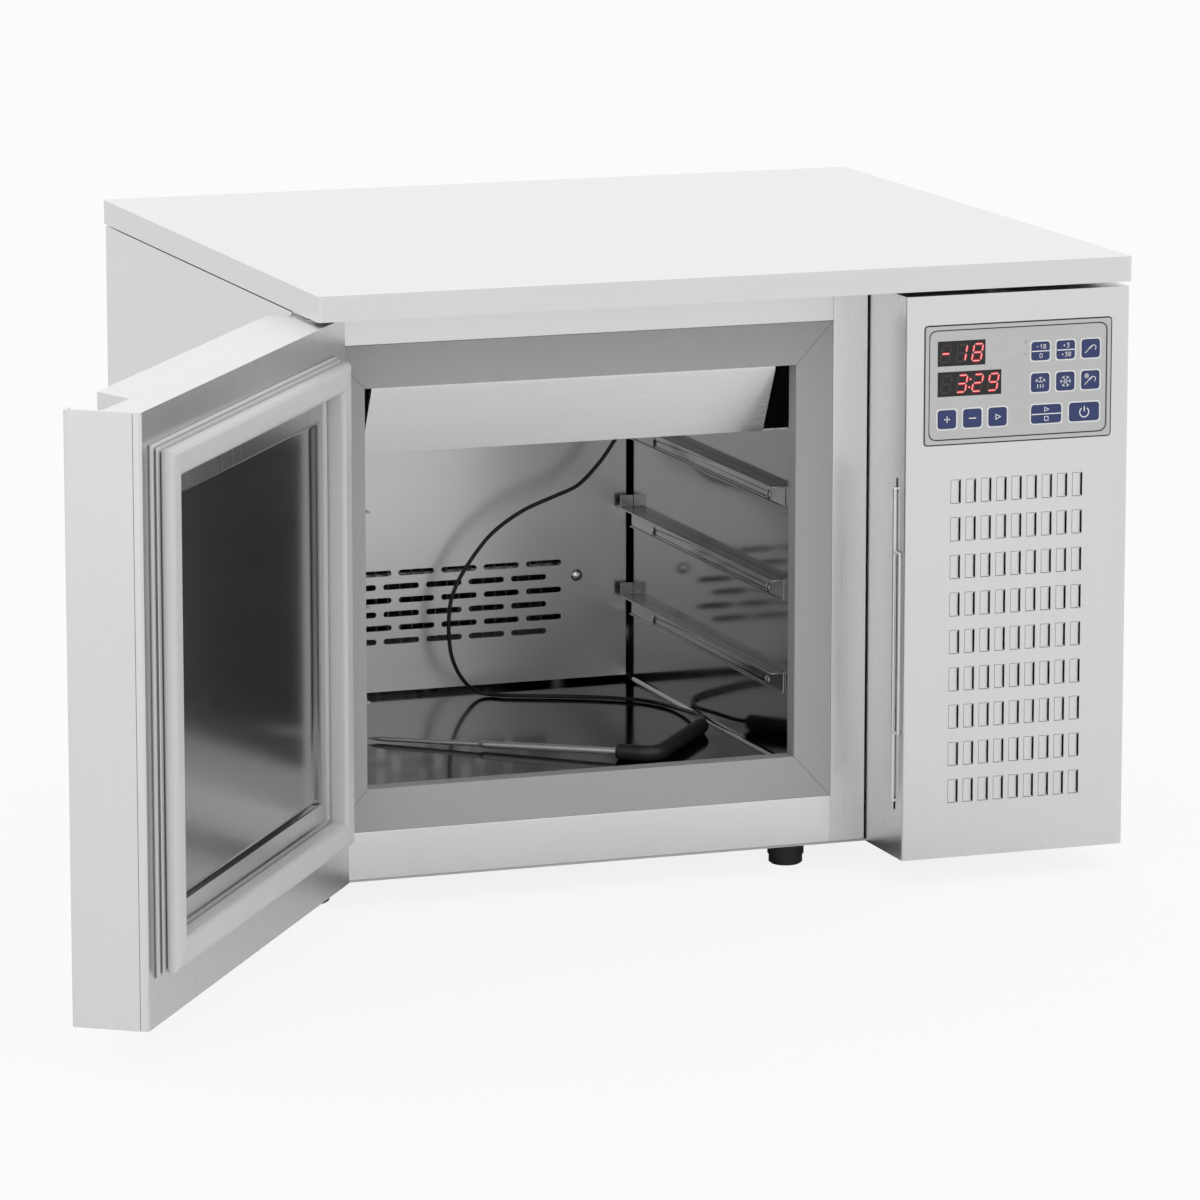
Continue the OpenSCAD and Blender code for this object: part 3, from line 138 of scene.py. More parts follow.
def link(name, mesh, body, material, crease=35):
    """An object at the origin that shows mesh, rides on body and wears material. Edges
    sharper than crease degrees stay sharp, and the rest is shaded smooth."""
    piece = bpy.data.objects.new(name, mesh)
    scene.collection.objects.link(piece)
    mesh.polygons.foreach_set("use_smooth", [True] * len(mesh.polygons))
    mesh.set_sharp_from_angle(angle=math.radians(crease))
    mesh.materials.append(material)
    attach(piece, body)
    print(name, "rides on", body, "with", len(mesh.polygons), "faces")
    return piece


print("mesh helpers ready")

# %% [markdown]
# ## The probe's cord
# A core probe hangs on a thin round cord that leaves a gland high on the chamber's
# right wall, falls in a long S, lies in a wide curve over the floor and runs into the
# probe's handle. A curve with a round bevel would do, but it counts a metre round each
# of its points into the object's box, so a circle is carried along the line instead.
# The points are the route that the frame's solid follows, and a spline of cubics, one
# for each span, passes smoothly through all of them.

# %% Cord route and tube
CORD_MM = [(74, 119, 283), (68, 119, 281.6), (63, 119, 277.5), (58.5, 119, 270),
           (53, 119, 261), (41, 119, 245), (23, 119, 228), (3, 119, 220), (-19, 119, 212),
           (-36, 119, 203), (-51, 119, 192), (-62, 119, 180), (-71, 119, 168),
           (-79, 119, 155), (-84.5, 119, 141), (-86.5, 119, 127), (-86.5, 119, 112),
           (-84.5, 119, 96), (-79, 119.5, 82), (-70.5, 121, 70.5), (-61, 123.5, 63.5),
           (-52, 121.5, 61.4), (-42, 113.5, 61.4), (-20, 103, 61.4), (8, 91, 61.4),
           (35, 75, 61.4), (57, 56, 61.4), (67.5, 31, 61.4), (71, 8, 62.6),
           (71.5, -13, 64.6), (71, -31, 66), (69, -46, 66.4), (64.5, -58, 66),
           (60, -66.5, 65.9), (56, -72, 65.9)]
CORD_D = 3.2 * MM
CORD_STEPS, CORD_SIDES = 6, 12


def smooth_path(points, steps):
    """Points of the spline through the given ones: on each span a cubic whose slope at
    a point is half the way between its neighbours; steps points to a span."""
    p = np.concatenate([points[:1], points, points[-1:]])
    a, b, c, d = (p[k:len(p) - 3 + k, None, :] for k in range(4))
    t = (np.arange(steps) / steps)[None, :, None]
    curve = 0.5 * (2 * b + (c - a) * t + (2 * a - 5 * b + 4 * c - d) * t ** 2
                   + (3 * b - a - 3 * c + d) * t ** 3)
    return np.concatenate([curve.reshape(-1, 3), points[-1:]])


def tube(path, radius, sides):
    """Rings of points round a path. Across the path's direction at each point lie two
    axes, the first square to it and to a slanting line that the path never follows,
    the second square to both; a ring is the path's point plus radius times the cosine
    of the turn along the first axis and its sine along the second."""
    along = np.gradient(path, axis=0)
    along /= np.linalg.norm(along, axis=1, keepdims=True)
    first = np.cross(along, (1, 1, 1))
    first /= np.linalg.norm(first, axis=1, keepdims=True)
    second = np.cross(along, first)
    turn = (2 * np.pi * np.arange(sides) / sides)[None, :, None]
    return path[:, None] + radius * (np.cos(turn) * first[:, None]
                                     + np.sin(turn) * second[:, None])


cord_line = smooth_path(np.array(CORD_MM) * MM, CORD_STEPS)
cord_mesh = mesh_of("sensor_cord", [shell(tube(cord_line, CORD_D / 2, CORD_SIDES),
                                          round_columns=True, caps=True)])
cord_mesh.polygons.foreach_set("use_smooth", [True] * len(cord_mesh.polygons))
cord = bpy.data.objects.new("sensor_cord", cord_mesh)
scene.collection.objects.link(cord)
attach(cord, "cabinet")
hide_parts("probe_cord")

# %% [markdown]
# ## Background
# The object stands in an evenly lit white studio. A picture of a studio could be
# wrapped round the scene, but a plain world brings no stray lights into the steel: it
# is white for the camera and for reflections, and a little dimmer as a lamp. The light
# path node tells which kind of ray asks. The node helpers serve all materials too.

# %% World
def node_tree(owner):
    """An emptied node tree of a material or a world, and a function that adds nodes."""
    owner.use_nodes = True
    tree = owner.node_tree
    tree.nodes.clear()

    def add(kind, **values):
        node = tree.nodes.new(kind)
        for key, value in values.items():
            setattr(node, key, value)
        return node
    return tree, add


def fill(node, values):
    """Give a node's inputs, by name or number, the values they have when unlinked."""
    for socket, value in values.items():
        node.inputs[socket].default_value = value


def join(tree, *pairs):
    """Link each pair of an output and the input that it feeds."""
    for output, entry in pairs:
        tree.links.new(output, entry)


WORLD_AS_LAMP, WORLD_SEEN = 0.85, 1.0
world = bpy.data.worlds.new("studio")
scene.world = world
tree, add = node_tree(world)
path = add("ShaderNodeLightPath")
seen = add("ShaderNodeMath", operation="ADD", use_clamp=True)
seen2 = add("ShaderNodeMath", operation="ADD", use_clamp=True)
lamp, white = add("ShaderNodeBackground"), add("ShaderNodeBackground")
fill(lamp, {"Color": (1, 1, 1, 1), "Strength": WORLD_AS_LAMP})
fill(white, {"Color": (1, 1, 1, 1), "Strength": WORLD_SEEN})
mix, out = add("ShaderNodeMixShader"), add("ShaderNodeOutputWorld")
join(tree, (path.outputs["Is Camera Ray"], seen.inputs[0]),
     (path.outputs["Is Glossy Ray"], seen.inputs[1]),
     (seen.outputs[0], seen2.inputs[0]),
     (path.outputs["Is Transmission Ray"], seen2.inputs[1]),
     (seen2.outputs[0], mix.inputs[0]),
     (lamp.outputs[0], mix.inputs[1]),
     (white.outputs[0], mix.inputs[2]),
     (mix.outputs[0], out.inputs["Surface"]))
print("world seen at", WORLD_SEEN, "and as a lamp at", WORLD_AS_LAMP)

# %% [markdown]
# ## Lamps
# Three soft area lamps give the top its brightness and the sides their slight shade.
# Wide squares of light blur their own shadows, which a point lamp wouldn't do. A lamp
# shines along its own minus Z, so its turn follows from the way to its target.

# %% Lamps
def area_lamp(name, place, target, size, watts):
    """A soft square lamp at place that faces target."""
    data = bpy.data.lights.new(name, "AREA")
    data.shape, data.size, data.energy = "SQUARE", size, watts
    holder = bpy.data.objects.new(name, data)
    way = np.array(target, float) - np.array(place, float)
    yaw = math.atan2(way[0], -way[1])
    holder.rotation_euler = (math.acos(-way[2] / np.linalg.norm(way)), 0, yaw)
    holder.location = place
    scene.collection.objects.link(holder)


LAMPS = {"lamp_top": ((-0.3, -0.4, 2.6), (0, 0, 0.4), 1.8, 1.5),
         "lamp_front": ((-1.9, -2.6, 1.3), (-0.1, 0, 0.2), 1.6, 22),
         "lamp_right": ((2.6, -1.6, 1.0), (0.1, 0, 0.2), 1.4, 12)}
for name, (place, target, size, watts) in LAMPS.items():
    area_lamp(name, place, target, size, watts)
print(len(LAMPS), "lamps")

# %% [markdown]
# ## Floor
# The floor is a pale sheet under the feet, far wider than the picture. For the camera
# most of its own shading is taken out, so that it runs into the white background, and
# the contact shadow stays.

# %% Floor
FLOOR_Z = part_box("feet")[0][2]
FLOOR_HALF = 25.0
FLOOR_GLOW = 0.86                      # share of plain white that the camera sees on it
corners = np.array([[(-1, -1), (1, -1)], [(-1, 1), (1, 1)]]) * FLOOR_HALF
floor_points = np.concatenate([corners, np.full((2, 2, 1), FLOOR_Z)], 2)
floor_mesh = mesh_of("floor", [shell(floor_points)])
floor = bpy.data.objects.new("floor", floor_mesh)
scene.collection.objects.link(floor)
floor_paint = bpy.data.materials.new("floor_paint")
tree, add = node_tree(floor_paint)
diffuse, plain = add("ShaderNodeBsdfDiffuse"), add("ShaderNodeEmission")
path, part = add("ShaderNodeLightPath"), add("ShaderNodeMath", operation="MULTIPLY")
mix, out = add("ShaderNodeMixShader"), add("ShaderNodeOutputMaterial")
fill(diffuse, {"Color": (0.9, 0.9, 0.9, 1)})
fill(plain, {"Color": (1, 1, 1, 1)})
fill(part, {1: FLOOR_GLOW})
join(tree, (path.outputs["Is Camera Ray"], part.inputs[0]),
     (part.outputs[0], mix.inputs[0]),
     (diffuse.outputs[0], mix.inputs[1]),
     (plain.outputs[0], mix.inputs[2]),
     (mix.outputs[0], out.inputs["Surface"]))
floor_mesh.materials.append(floor_paint)
scene.view_settings.view_transform = "Standard"
print("floor at", round(FLOOR_Z, 4))

# %% [markdown]
# ## Finishes
# Stainless sheet is brushed: fine scratches run one way, which stretches highlights
# across them. Here a noise, squeezed a hundred times along one axis, drives a small
# change of roughness and tone and a very small bump. A second, slow noise stands for
# the faint clouds that handling and rolling leave. Plastics and rubber get a grain.

# %% Material maker
CLOUDS_PER_METRE = 7.0
BRUSHED_STRETCH = 0.6
# Faces that look up get painted shade between these heights of the normal
FLAT_FROM, FLAT_TO = 0.5, 0.9           # the normal's height where dimming starts, ends


def finish(name, color, metallic=0.0, roughness=0.4, spread=0.06, grain=(300, 300, 300),
           bump=0.1, depth=0.00005, tint=0.03, coat=0.0, cloud=0.02, brushed=None,
           painted_top_shade=1.0, painted_groove_shade=False, edge=1.0):
    """A principled surface whose roughness and tone vary with a stretched noise on
    object coordinates. grain is that noise's frequency along X, Y and Z, per metre;
    cloud is the share by which a slow noise changes the tone; brushed stretches the
    highlights along the direction that runs round that axis; painted_top_shade is
    painted shade, the share of the colour kept on faces that look up;
    painted_groove_shade reads painted shade stored on the piece's points; edge is how
    light the metal stays where it is seen almost along its surface."""
    material = bpy.data.materials.new(name)
    tree, add = node_tree(material)
    place, mapping = add("ShaderNodeTexCoord"), add("ShaderNodeMapping")
    noise, slow = add("ShaderNodeTexNoise"), add("ShaderNodeTexNoise")
    rough, tone, clouds = (add("ShaderNodeMapRange") for _ in range(3))
    first = both = add("ShaderNodeMath", operation="MULTIPLY")
    shade = add("ShaderNodeVectorMath", operation="SCALE")
    relief = add("ShaderNodeBump")
    surface, out = add("ShaderNodeBsdfPrincipled"), add("ShaderNodeOutputMaterial")
    for node, values in (
            (mapping, {"Scale": grain}),
            (noise, {"Scale": 1.0, "Detail": 3.0}),
            (slow, {"Scale": CLOUDS_PER_METRE, "Detail": 2.0}),
            (rough, {"To Min": max(roughness - spread, 0.02),
                     "To Max": roughness + spread}),
            (tone, {"To Min": 1 - tint, "To Max": 1 + tint}),
            (clouds, {"To Min": 1 - cloud, "To Max": 1 + cloud}),
            (shade, {0: color}),
            (relief, {"Strength": bump, "Distance": depth}),
            (surface, {"Metallic": metallic, "Coat Weight": coat,
                       "Specular Tint": (edge, edge, edge, 1)})):
        fill(node, values)
    if brushed:
        tangent = add("ShaderNodeTangent", direction_type="RADIAL", axis=brushed)
        fill(surface, {"Anisotropic": BRUSHED_STRETCH})
        join(tree, (tangent.outputs["Tangent"], surface.inputs["Tangent"]))
    # Painted shade: faces whose normal points up are darkened in the base colour
    if painted_top_shade != 1.0:
        facing, split = add("ShaderNodeNewGeometry"), add("ShaderNodeSeparateXYZ")
        top_shade = add("ShaderNodeMapRange")
        dimmed = add("ShaderNodeMath", operation="MULTIPLY")
        fill(top_shade, {"From Min": FLAT_FROM, "From Max": FLAT_TO,
                    "To Min": 1.0, "To Max": painted_top_shade})
        join(tree, (facing.outputs["Normal"], split.inputs[0]),
             (split.outputs["Z"], top_shade.inputs["Value"]),
             (both.outputs["Value"], dimmed.inputs[0]),
             (top_shade.outputs["Result"], dimmed.inputs[1]))
        both = dimmed
    # Painted shade: the base colour is darkened by a shade stored on the mesh's points
    if painted_groove_shade:
        groove_shade_in = add("ShaderNodeAttribute", attribute_name="painted_groove_shade")
        dimmed = add("ShaderNodeMath", operation="MULTIPLY")
        join(tree, (both.outputs["Value"], dimmed.inputs[0]),
             (groove_shade_in.outputs["Fac"], dimmed.inputs[1]))
        both = dimmed
    join(tree, (place.outputs["Object"], mapping.inputs["Vector"]),
         (place.outputs["Object"], slow.inputs["Vector"]),
         (mapping.outputs["Vector"], noise.inputs["Vector"]),
         (noise.outputs["Fac"], rough.inputs["Value"]),
         (noise.outputs["Fac"], tone.inputs["Value"]),
         (slow.outputs["Fac"], clouds.inputs["Value"]),
         (tone.outputs["Result"], first.inputs[0]),
         (clouds.outputs["Result"], first.inputs[1]),
         (noise.outputs["Fac"], relief.inputs["Height"]),
         (both.outputs["Value"], shade.inputs["Scale"]),
         (shade.outputs["Vector"], surface.inputs["Base Color"]),
         (rough.outputs["Result"], surface.inputs["Roughness"]),
         (relief.outputs["Normal"], surface.inputs["Normal"]),
         (surface.outputs["BSDF"], out.inputs["Surface"]))
    return material


print("material maker ready")

# %% [markdown]
# ## Metals
# A metal's colour is its reflectance. The outer sheets are satin steel, brushed along
# their longest side, so there is one finish for each way of the grain. The chamber is
# smoother and mirrors itself, and each bounce darkens it; that shade is painted into its
# colour, so its value is lower, and its own and its runners' faces that look up are
# painted darker still. The zinc, copper and fin metals are inside or below, where they
# hardly show.

# %% Finishes of metal
ALONG_X, ALONG_Y, ALONG_Z = (12, 1400, 1400), (1400, 12, 1400), (1400, 1400, 12)
STEEL = (0.81, 0.81, 0.815)
steel_x = finish("satin_steel_x", STEEL, 1, 0.29, 0.05, ALONG_X, 0.07)
steel_y = finish("satin_steel_y", STEEL, 1, 0.29, 0.05, ALONG_Y, 0.07)
steel_z = finish("satin_steel_z", STEEL, 1, 0.29, 0.05, ALONG_Z, 0.07)
# Painted shade: the chamber's steel is darker than the outer sheets, and faces that look up
# darker still
liner_steel = finish("liner_steel", (0.42, 0.42, 0.425), 1, 0.11, 0.02, ALONG_Y, 0.03,
                     painted_top_shade=0.3, edge=0.8)
cover_steel = finish("cover_steel", (0.74, 0.74, 0.745), 1, 0.31, 0.03, ALONG_X, 0.05,
                     brushed="X")
duct_steel = finish("duct_steel", (0.93, 0.93, 0.935), 1, 0.26, 0.04, ALONG_X, 0.06)
# Painted shade: the runners are as dark as the chamber, and their tops darker still
ledge_steel = finish("ledge_steel", (0.42, 0.42, 0.425), 1, 0.16, 0.03, ALONG_Y, 0.05,
                     painted_top_shade=0.3)
mirror_steel = finish("mirror_steel", (0.46, 0.46, 0.465), 0.95, 0.17, 0.03, ALONG_Z, 0.03)
border_steel = finish("border_steel", (0.70, 0.70, 0.705), 1, 0.26, 0.04, ALONG_Z, 0.06)
zinc_sheet = finish("zinc_sheet", (0.55, 0.57, 0.58), 1, 0.4, 0.1, (60, 60, 60), 0.05)
plated = finish("plated_steel", (0.85, 0.85, 0.86), 0.85, 0.24, 0.05, (300, 300, 300))
needle_steel = finish("needle_steel", (0.90, 0.90, 0.91), 0.7, 0.36, 0.05, (200, 200, 200))
fin_metal = finish("fin_metal", (0.60, 0.61, 0.62), 1, 0.35, 0.08, (200, 200, 20))
copper = finish("copper_tube", (0.72, 0.36, 0.20), 1, 0.28, 0.08, (80, 80, 80))
print("metal finishes ready")

# %% [markdown]
# ## Plastics, rubber and paint
# These have no metallic share and a fine, even grain. The panel's film and the plastic
# frame round the chamber are middle greys that mirror little, which sets them apart
# from the steel beside them.

# %% Finishes of plastic, rubber and paint
FINE = (900, 900, 900)
grey_plastic = finish("grey_plastic", (0.47, 0.472, 0.475), 0, 0.42, 0.05, FINE, 0.25,
                      0.00008, 0.08, 0.0, 0.05)
# The seal's rubber reads the shade painted into its grooves
seal_rubber = finish("seal_rubber", (0.70, 0.702, 0.704), 0, 0.33, 0.04, (200, 200, 200),
                     painted_groove_shade=True)
rubber_black = finish("black_rubber", (0.02, 0.02, 0.02), 0, 0.55, 0.08, FINE, 0.2)
magnet = finish("magnet_strip", (0.05, 0.04, 0.04), 0, 0.6)
dark_plastic = finish("dark_plastic", (0.05, 0.05, 0.055), 0, 0.45, 0.05, FINE, 0.2)
motor_paint = finish("motor_paint", (0.20, 0.21, 0.23), 0, 0.4, 0.05, (400, 400, 400))
black_enamel = finish("black_enamel", (0.02, 0.02, 0.02), 0, 0.22, 0.05, (60, 60, 60),
                      coat=0.5)
panel_film = finish("panel_film", (0.60, 0.602, 0.605), 0, 0.38, 0.04, (600, 600, 600))
window_tint = finish("window_tint", (0.012, 0.011, 0.011), 0, 0.14, 0.02, (60, 60, 60), 0.0)
key_navy = finish("key_navy", (0.028, 0.045, 0.16), 0, 0.42, 0.03, (600, 600, 600))
board_green = finish("board_green", (0.02, 0.14, 0.05), 0, 0.35)
foam = finish("foam_core", (0.80, 0.72, 0.48), 0, 0.85, 0.05, (400, 400, 400), 0.5, 0.0004)
pale_plastic = finish("pale_plastic", (0.72, 0.71, 0.67), 0, 0.45)
probe_plastic = finish("probe_plastic", (0.03, 0.03, 0.033), 0, 0.42, 0.05, FINE, 0.2)
cord_sheath = finish("cord_sheath", (0.02, 0.02, 0.022), 0, 0.45, 0.05, (500, 500, 500))
print_white = finish("print_white", (0.92, 0.92, 0.925), 0, 0.5, tint=0.0)
print_faint = finish("print_faint", (0.72, 0.72, 0.725), 0, 0.5)
shade_line = finish("shade_line", (0.22, 0.22, 0.22), 0, 0.6)
seam_dark = finish("seam_dark", (0.03, 0.03, 0.03), 0, 0.6)
segment_off = finish("segment_off", (0.05, 0.035, 0.035), 0, 0.3)
cord_mesh.materials.append(cord_sheath)
print("plastic finishes ready")

# %% [markdown]
# ## Dressing the frame's parts
# A shell could be modelled over each solid, but it would only repeat its shape, so a
# part whose shape is right keeps its mesh and gets a better material. One table from
# finish to part names makes it easy to see that no part was forgotten.

# %% Who wears what
WEAR = {
    steel_x: ["worktop", "upper_rail", "rear_panel"],
    steel_y: ["left_side_panel", "right_side_panel"],
    steel_z: ["hinge_stile", "mullion", "housing_shell", "door_skin", "hinge_brackets"],
    liner_steel: ["inner_liner"],
    cover_steel: ["evaporator_cover"],
    duct_steel: ["air_duct_panel", "lower_rail"],
    ledge_steel: ["tray_runners"],
    border_steel: ["door_inner_panel"],
    zinc_sheet: ["base_pan", "top_closure", "partition", "condenser_shroud"],
    grey_plastic: ["breaker_frame"],
    seal_rubber: ["door_gasket"],
    rubber_black: ["compressor_mounts", "mains_gland", "feet"],
    magnet: ["gasket_magnets"],
    fin_metal: ["evaporator_coil", "condenser_coil"],
    copper: ["refrigerant_pipes"],
    dark_plastic: ["evaporator_fan_rotor", "condenser_fan_rotor"],
    motor_paint: ["evaporator_fan_motor", "condenser_fan_motor"],
    black_enamel: ["compressor"],
    panel_film: ["control_bezel"],
    window_tint: ["display_windows"],
    key_navy: [name for name in nodes if name.startswith("key_")],
    board_green: ["control_board"],
    plated: ["panel_screws", "evaporator_fan_guard", "wire_bracket"],
    needle_steel: ["probe_needle"],
    foam: ["insulation_foam", "door_foam"],
    pale_plastic: ["drain_spout", "hinge_bushes"],
    probe_plastic: ["probe_handle", "cord_gland"],
}
worn = set()
for material, names in WEAR.items():
    for name in names:
        nodes[name].data.materials.clear()
        nodes[name].data.materials.append(material)
        worn.add(name)
print("nodes without a finish:", sorted(set(nodes) - worn - {"probe_cord"}))

# %% [markdown]
# ## Soft edges
# A folded sheet has no knife edge: the light always catches a thin line along a bend.
# The solids have sharp ones, so a bevel modifier rounds each edge that turns by more
# than 40 degrees. The loose triangles must share their corners for that, so a weld
# comes first. The bevel stays under half the sheet's thickness. Normals weighted by
# area keep the flat faces flat.

# %% Bevels on folded and moulded parts
SOFT = {"worktop": 0.45, "left_side_panel": 0.4, "right_side_panel": 0.4,
        "upper_rail": 0.4, "lower_rail": 0.4, "hinge_stile": 0.4, "mullion": 0.4,
        "door_skin": 0.45, "breaker_frame": 0.6, "tray_runners": 0.4,
        "air_duct_panel": 0.4, "housing_shell": 0.4, "control_bezel": 0.25}
WELD_WITHIN, SHARPER_THAN = 0.00001, math.radians(40)
for name, width in SOFT.items():
    weld = nodes[name].modifiers.new("weld", "WELD")
    weld.merge_threshold = WELD_WITHIN
    bevel = nodes[name].modifiers.new("bevel", "BEVEL")
    bevel.width, bevel.segments = width * MM, 2
    bevel.limit_method, bevel.angle_limit = "ANGLE", SHARPER_THAN
    level = nodes[name].modifiers.new("level", "WEIGHTED_NORMAL")
    level.mode, level.weight = "FACE_AREA", 100
print("bevelled", len(SOFT), "parts")

# %% [markdown]
# ## Places on the door
# The door stands open, so what lies on it is worked out on the shut door and turned
# about the hinge. On the shut door u runs from the hinged end, t from the outer face
# and z from the lower edge.

# %% From the shut door to the open one
CASE_L, Y_FRONT, DOOR_Z0 = -318, -291, 9
PIVOT = (-309, -251.5)
DOOR_W, DOOR_T, DOOR_H = 448, 58, 421.5
DOOR_OPEN = math.radians(125)


def at_door(u, t, z):
    """Points in metres: the shut place less the pin, turned clockwise by the opening
    angle (x cos + y sin, y cos - x sin), plus the pin."""
    x, y = CASE_L + u - PIVOT[0], Y_FRONT + t - PIVOT[1]
    c, s = math.cos(DOOR_OPEN), math.sin(DOOR_OPEN)
    turned = [PIVOT[0] + x * c + y * s, PIVOT[1] + y * c - x * s, DOOR_Z0 + z]
    return np.stack(turned, -1) * MM


corner = at_door(np.array(float(DOOR_W)), np.array(float(DOOR_T)), np.array(0.0))
print("door's free inner corner", corner.round(4))

# %% [markdown]
# ## Door seal
# The seal is one ring of extruded PVC, welded at four mitres, with two thin ribs, a
# groove and a hollow bulb that the magnets sit in. An extrusion is a section carried
# along a path, so the section is written once, its corners are rounded, and it goes
# round the rectangle in rows of a closed grid. Each weld is a low ridge.

# %% Seal section
RING = (405.5, 363.5)                   # outer width and height of the seal
RING_IN, RING_UP = 14.5, 34             # its distance from the free edge and the bottom
CORNER_STEPS, CORNER_SOFT = 4, 0.6
WELD_HALF, WELD_RISE = 0.8, 0.15        # half the width of a weld's ridge, its height
RIDGE_FROM = 1                          # the ridge starts this high above the foot
SECTION = [(0, 0), (0, 2.1), (0.9, 2.8), (2.2, 2.9), (3.6, 3.0), (3.7, 4.4), (2.0, 4.6),
           (2.0, 5.4), (3.6, 5.7), (4.6, 6.1), (6.2, 6.3), (6.2, 7.3), (3.8, 7.7),
           (3.2, 9.6), (3.4, 11.9), (5.0, 14.4), (7.8, 15.7), (20.6, 15.7), (22.6, 14.9),
           (23.5, 13.2), (23.5, 0)]
# How light each corner of the section is painted: painted shade darkens the grooves, the
# foot's edge and the bulb's lower wall
PAINTED_SHADE = [0.35, 0.9, 1, 1, 0.3, 0.25, 0.8, 1, 1, 0.9, 0.22, 0.22, 0.6, 0.8, 0.92, 1, 1, 1, 1,
         1, 0.8]


def round_corners(points, radius, steps=CORNER_STEPS):
    """A closed outline with soft corners: each corner becomes a parabola between two
    points on its edges, at most radius or 0.45 of the edge from it."""
    p = np.asarray(points, float)
    before, after = np.roll(p, 1, 0) - p, np.roll(p, -1, 0) - p
    ways = []
    for way in (before, after):
        length = np.linalg.norm(way, axis=1, keepdims=True)
        ways.append(way / length * np.minimum(radius, 0.45 * length))
    t = np.linspace(0, 1, steps + 1)[None, :, None]
    a, b, c = (p + ways[0])[:, None], p[:, None], (p + ways[1])[:, None]
    return ((1 - t) ** 2 * a + 2 * t * (1 - t) * b + t ** 2 * c).reshape(-1, 2)


print("seal section with", len(SECTION), "corners")

# %% [markdown]
# ## The seal's way round the door
# The four sides are alike, so one function gives the rows of a side: first the mitre,
# where the section is pushed outwards into the weld's ridge, then the straight part.
# The shade painted at each point goes with the mesh as an attribute that the rubber reads.

# %% Sweep of the seal
section = round_corners(SECTION, CORNER_SOFT)
side = np.roll(section, -1, 0) - np.roll(section, 1, 0)
side /= np.linalg.norm(side, axis=1, keepdims=True)
outward = np.stack([-side[:, 1], side[:, 0]], 1)
area = np.sum(section[:, 0] * np.roll(section[:, 1], -1)
              - section[:, 1] * np.roll(section[:, 0], -1)) / 2
outward *= np.sign(-area)
ridge = np.where(section[:, 1:] > RIDGE_FROM, outward * WELD_RISE, 0)
corners = np.array([(0, 0), (RING[0], 0), RING, (0, RING[1])], float)
inward = np.array([(1, 1), (-1, 1), (-1, -1), (1, -1)], float)


def ring_rows(k, along=14):
    """Rows of the seal's side k: at the weld, WELD_HALF from it, and straight on to
    WELD_HALF from the next. A row holds (x, y, height) for each point of the section."""
    ends = []
    for j in (k, (k + 1) % 4):
        ends.append(corners[j] + section[:, :1] * inward[j])
    way = corners[(k + 1) % 4] - corners[k]
    way /= np.linalg.norm(way)
    t = np.linspace(0, 1, along)[:, None, None]
    flat = (ends[0] + WELD_HALF * way) * (1 - t) + (ends[1] - WELD_HALF * way) * t
    height = np.broadcast_to(section[:, 1], flat.shape[:2])
    rows = np.concatenate([flat, height[..., None]], 2)
    raised = section + ridge
    weld = np.concatenate([corners[k] + raised[:, :1] * inward[k], raised[:, 1:]], 1)
    return np.concatenate([weld[None], rows])


rows = np.concatenate([ring_rows(k) for k in range(4)])
seal_points = at_door(DOOR_W - RING_IN - rows[..., 0], DOOR_T + rows[..., 2],
                      RING_UP + rows[..., 1])
seal_mesh = mesh_of("door_seal", [shell(seal_points, True, True)])
# Painted shade: each point of the seal carries how dark its colour is made
painted_groove_shade = seal_mesh.attributes.new("painted_groove_shade", "FLOAT", "POINT")
painted_shade = np.repeat(PAINTED_SHADE, CORNER_STEPS + 1)
painted_groove_shade.data.foreach_set("value", np.tile(painted_shade, len(rows)).astype("f"))
seal = link("door_seal", seal_mesh, "door", seal_rubber, 50)
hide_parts("door_gasket")

# %% [markdown]
# ## Polished field of the door
# Behind the border the inner panel is pressed back and polished. A pressing is never
# flat: its edge runs up to the border in a step, a wide soft one beside the hinge, and
# its middle bows a little, and that is what bends the dark reflections in it. A height
# over a grid of u and z gives the shape, and a thin Solidify closes it.

# %% Pressed field
FIELD_U, FIELD_Z = (69.0, 392.5), (75.0, 356.5)
FIELD_BACK = 1.3                        # how far its bottom lies behind the seal's foot
FIELD_THICK = 0.1
STEP_HINGE, STEP_REST, RISE, BOW = 17.0, 2.5, 2.6, 0.7
BOW_HALF = (162, 141)                   # half the width and height that the bow spans


def spaced(ends, count=30):
    """Places from end to end, closer together near both ends: the middle plus half the
    span times sin(pi s / 2) of an even s."""
    s = np.linspace(-1, 1, 2 * count + 1)
    return sum(ends) / 2 + (ends[1] - ends[0]) / 2 * np.sin(s * math.pi / 2)


u, z = np.meshgrid(spaced(FIELD_U), spaced(FIELD_Z), indexing="ij")
steps = []
for value, (low, high) in ((u, FIELD_U), (z, FIELD_Z)):
    wide = STEP_HINGE if low == FIELD_U[0] else STEP_REST
    edge = np.clip(np.minimum((value - low) / wide, (high - value) / STEP_REST), 0, 1)
    steps.append(0.5 + 0.5 * np.cos(math.pi * edge))
rise = 1 - (1 - steps[0]) * (1 - steps[1])
bow = 1.0
for value, ends, half in ((u, FIELD_U, BOW_HALF[0]), (z, FIELD_Z, BOW_HALF[1])):
    bow = bow * (1 - ((value - sum(ends) / 2) / half) ** 2)
field_points = at_door(u, DOOR_T - FIELD_BACK + RISE * rise + BOW * bow, z)
field = link("door_field", mesh_of("door_field", [shell(field_points[::-1])]), "door",
             mirror_steel, 60)
crust = field.modifiers.new("crust", "SOLIDIFY")
crust.thickness, crust.offset = FIELD_THICK * MM, -1
print("field's edge rises", RISE, "mm, its middle bows", BOW, "mm")

# %% [markdown]
# ## Marks on the keys and the panel
# Keys carry white pictograms, and a white line is printed round each. Both are thin
# strokes of ink. A stroke is a path that is given a width: both of its sides stand half
# the width off the path, along the mitre between neighbouring pieces. It gets a few
# hundredths of a millimetre of height, so that it lies on the key.

# %% Strokes
PANEL_X, PANEL_Z = 227.5, 361.8
INK = 0.04


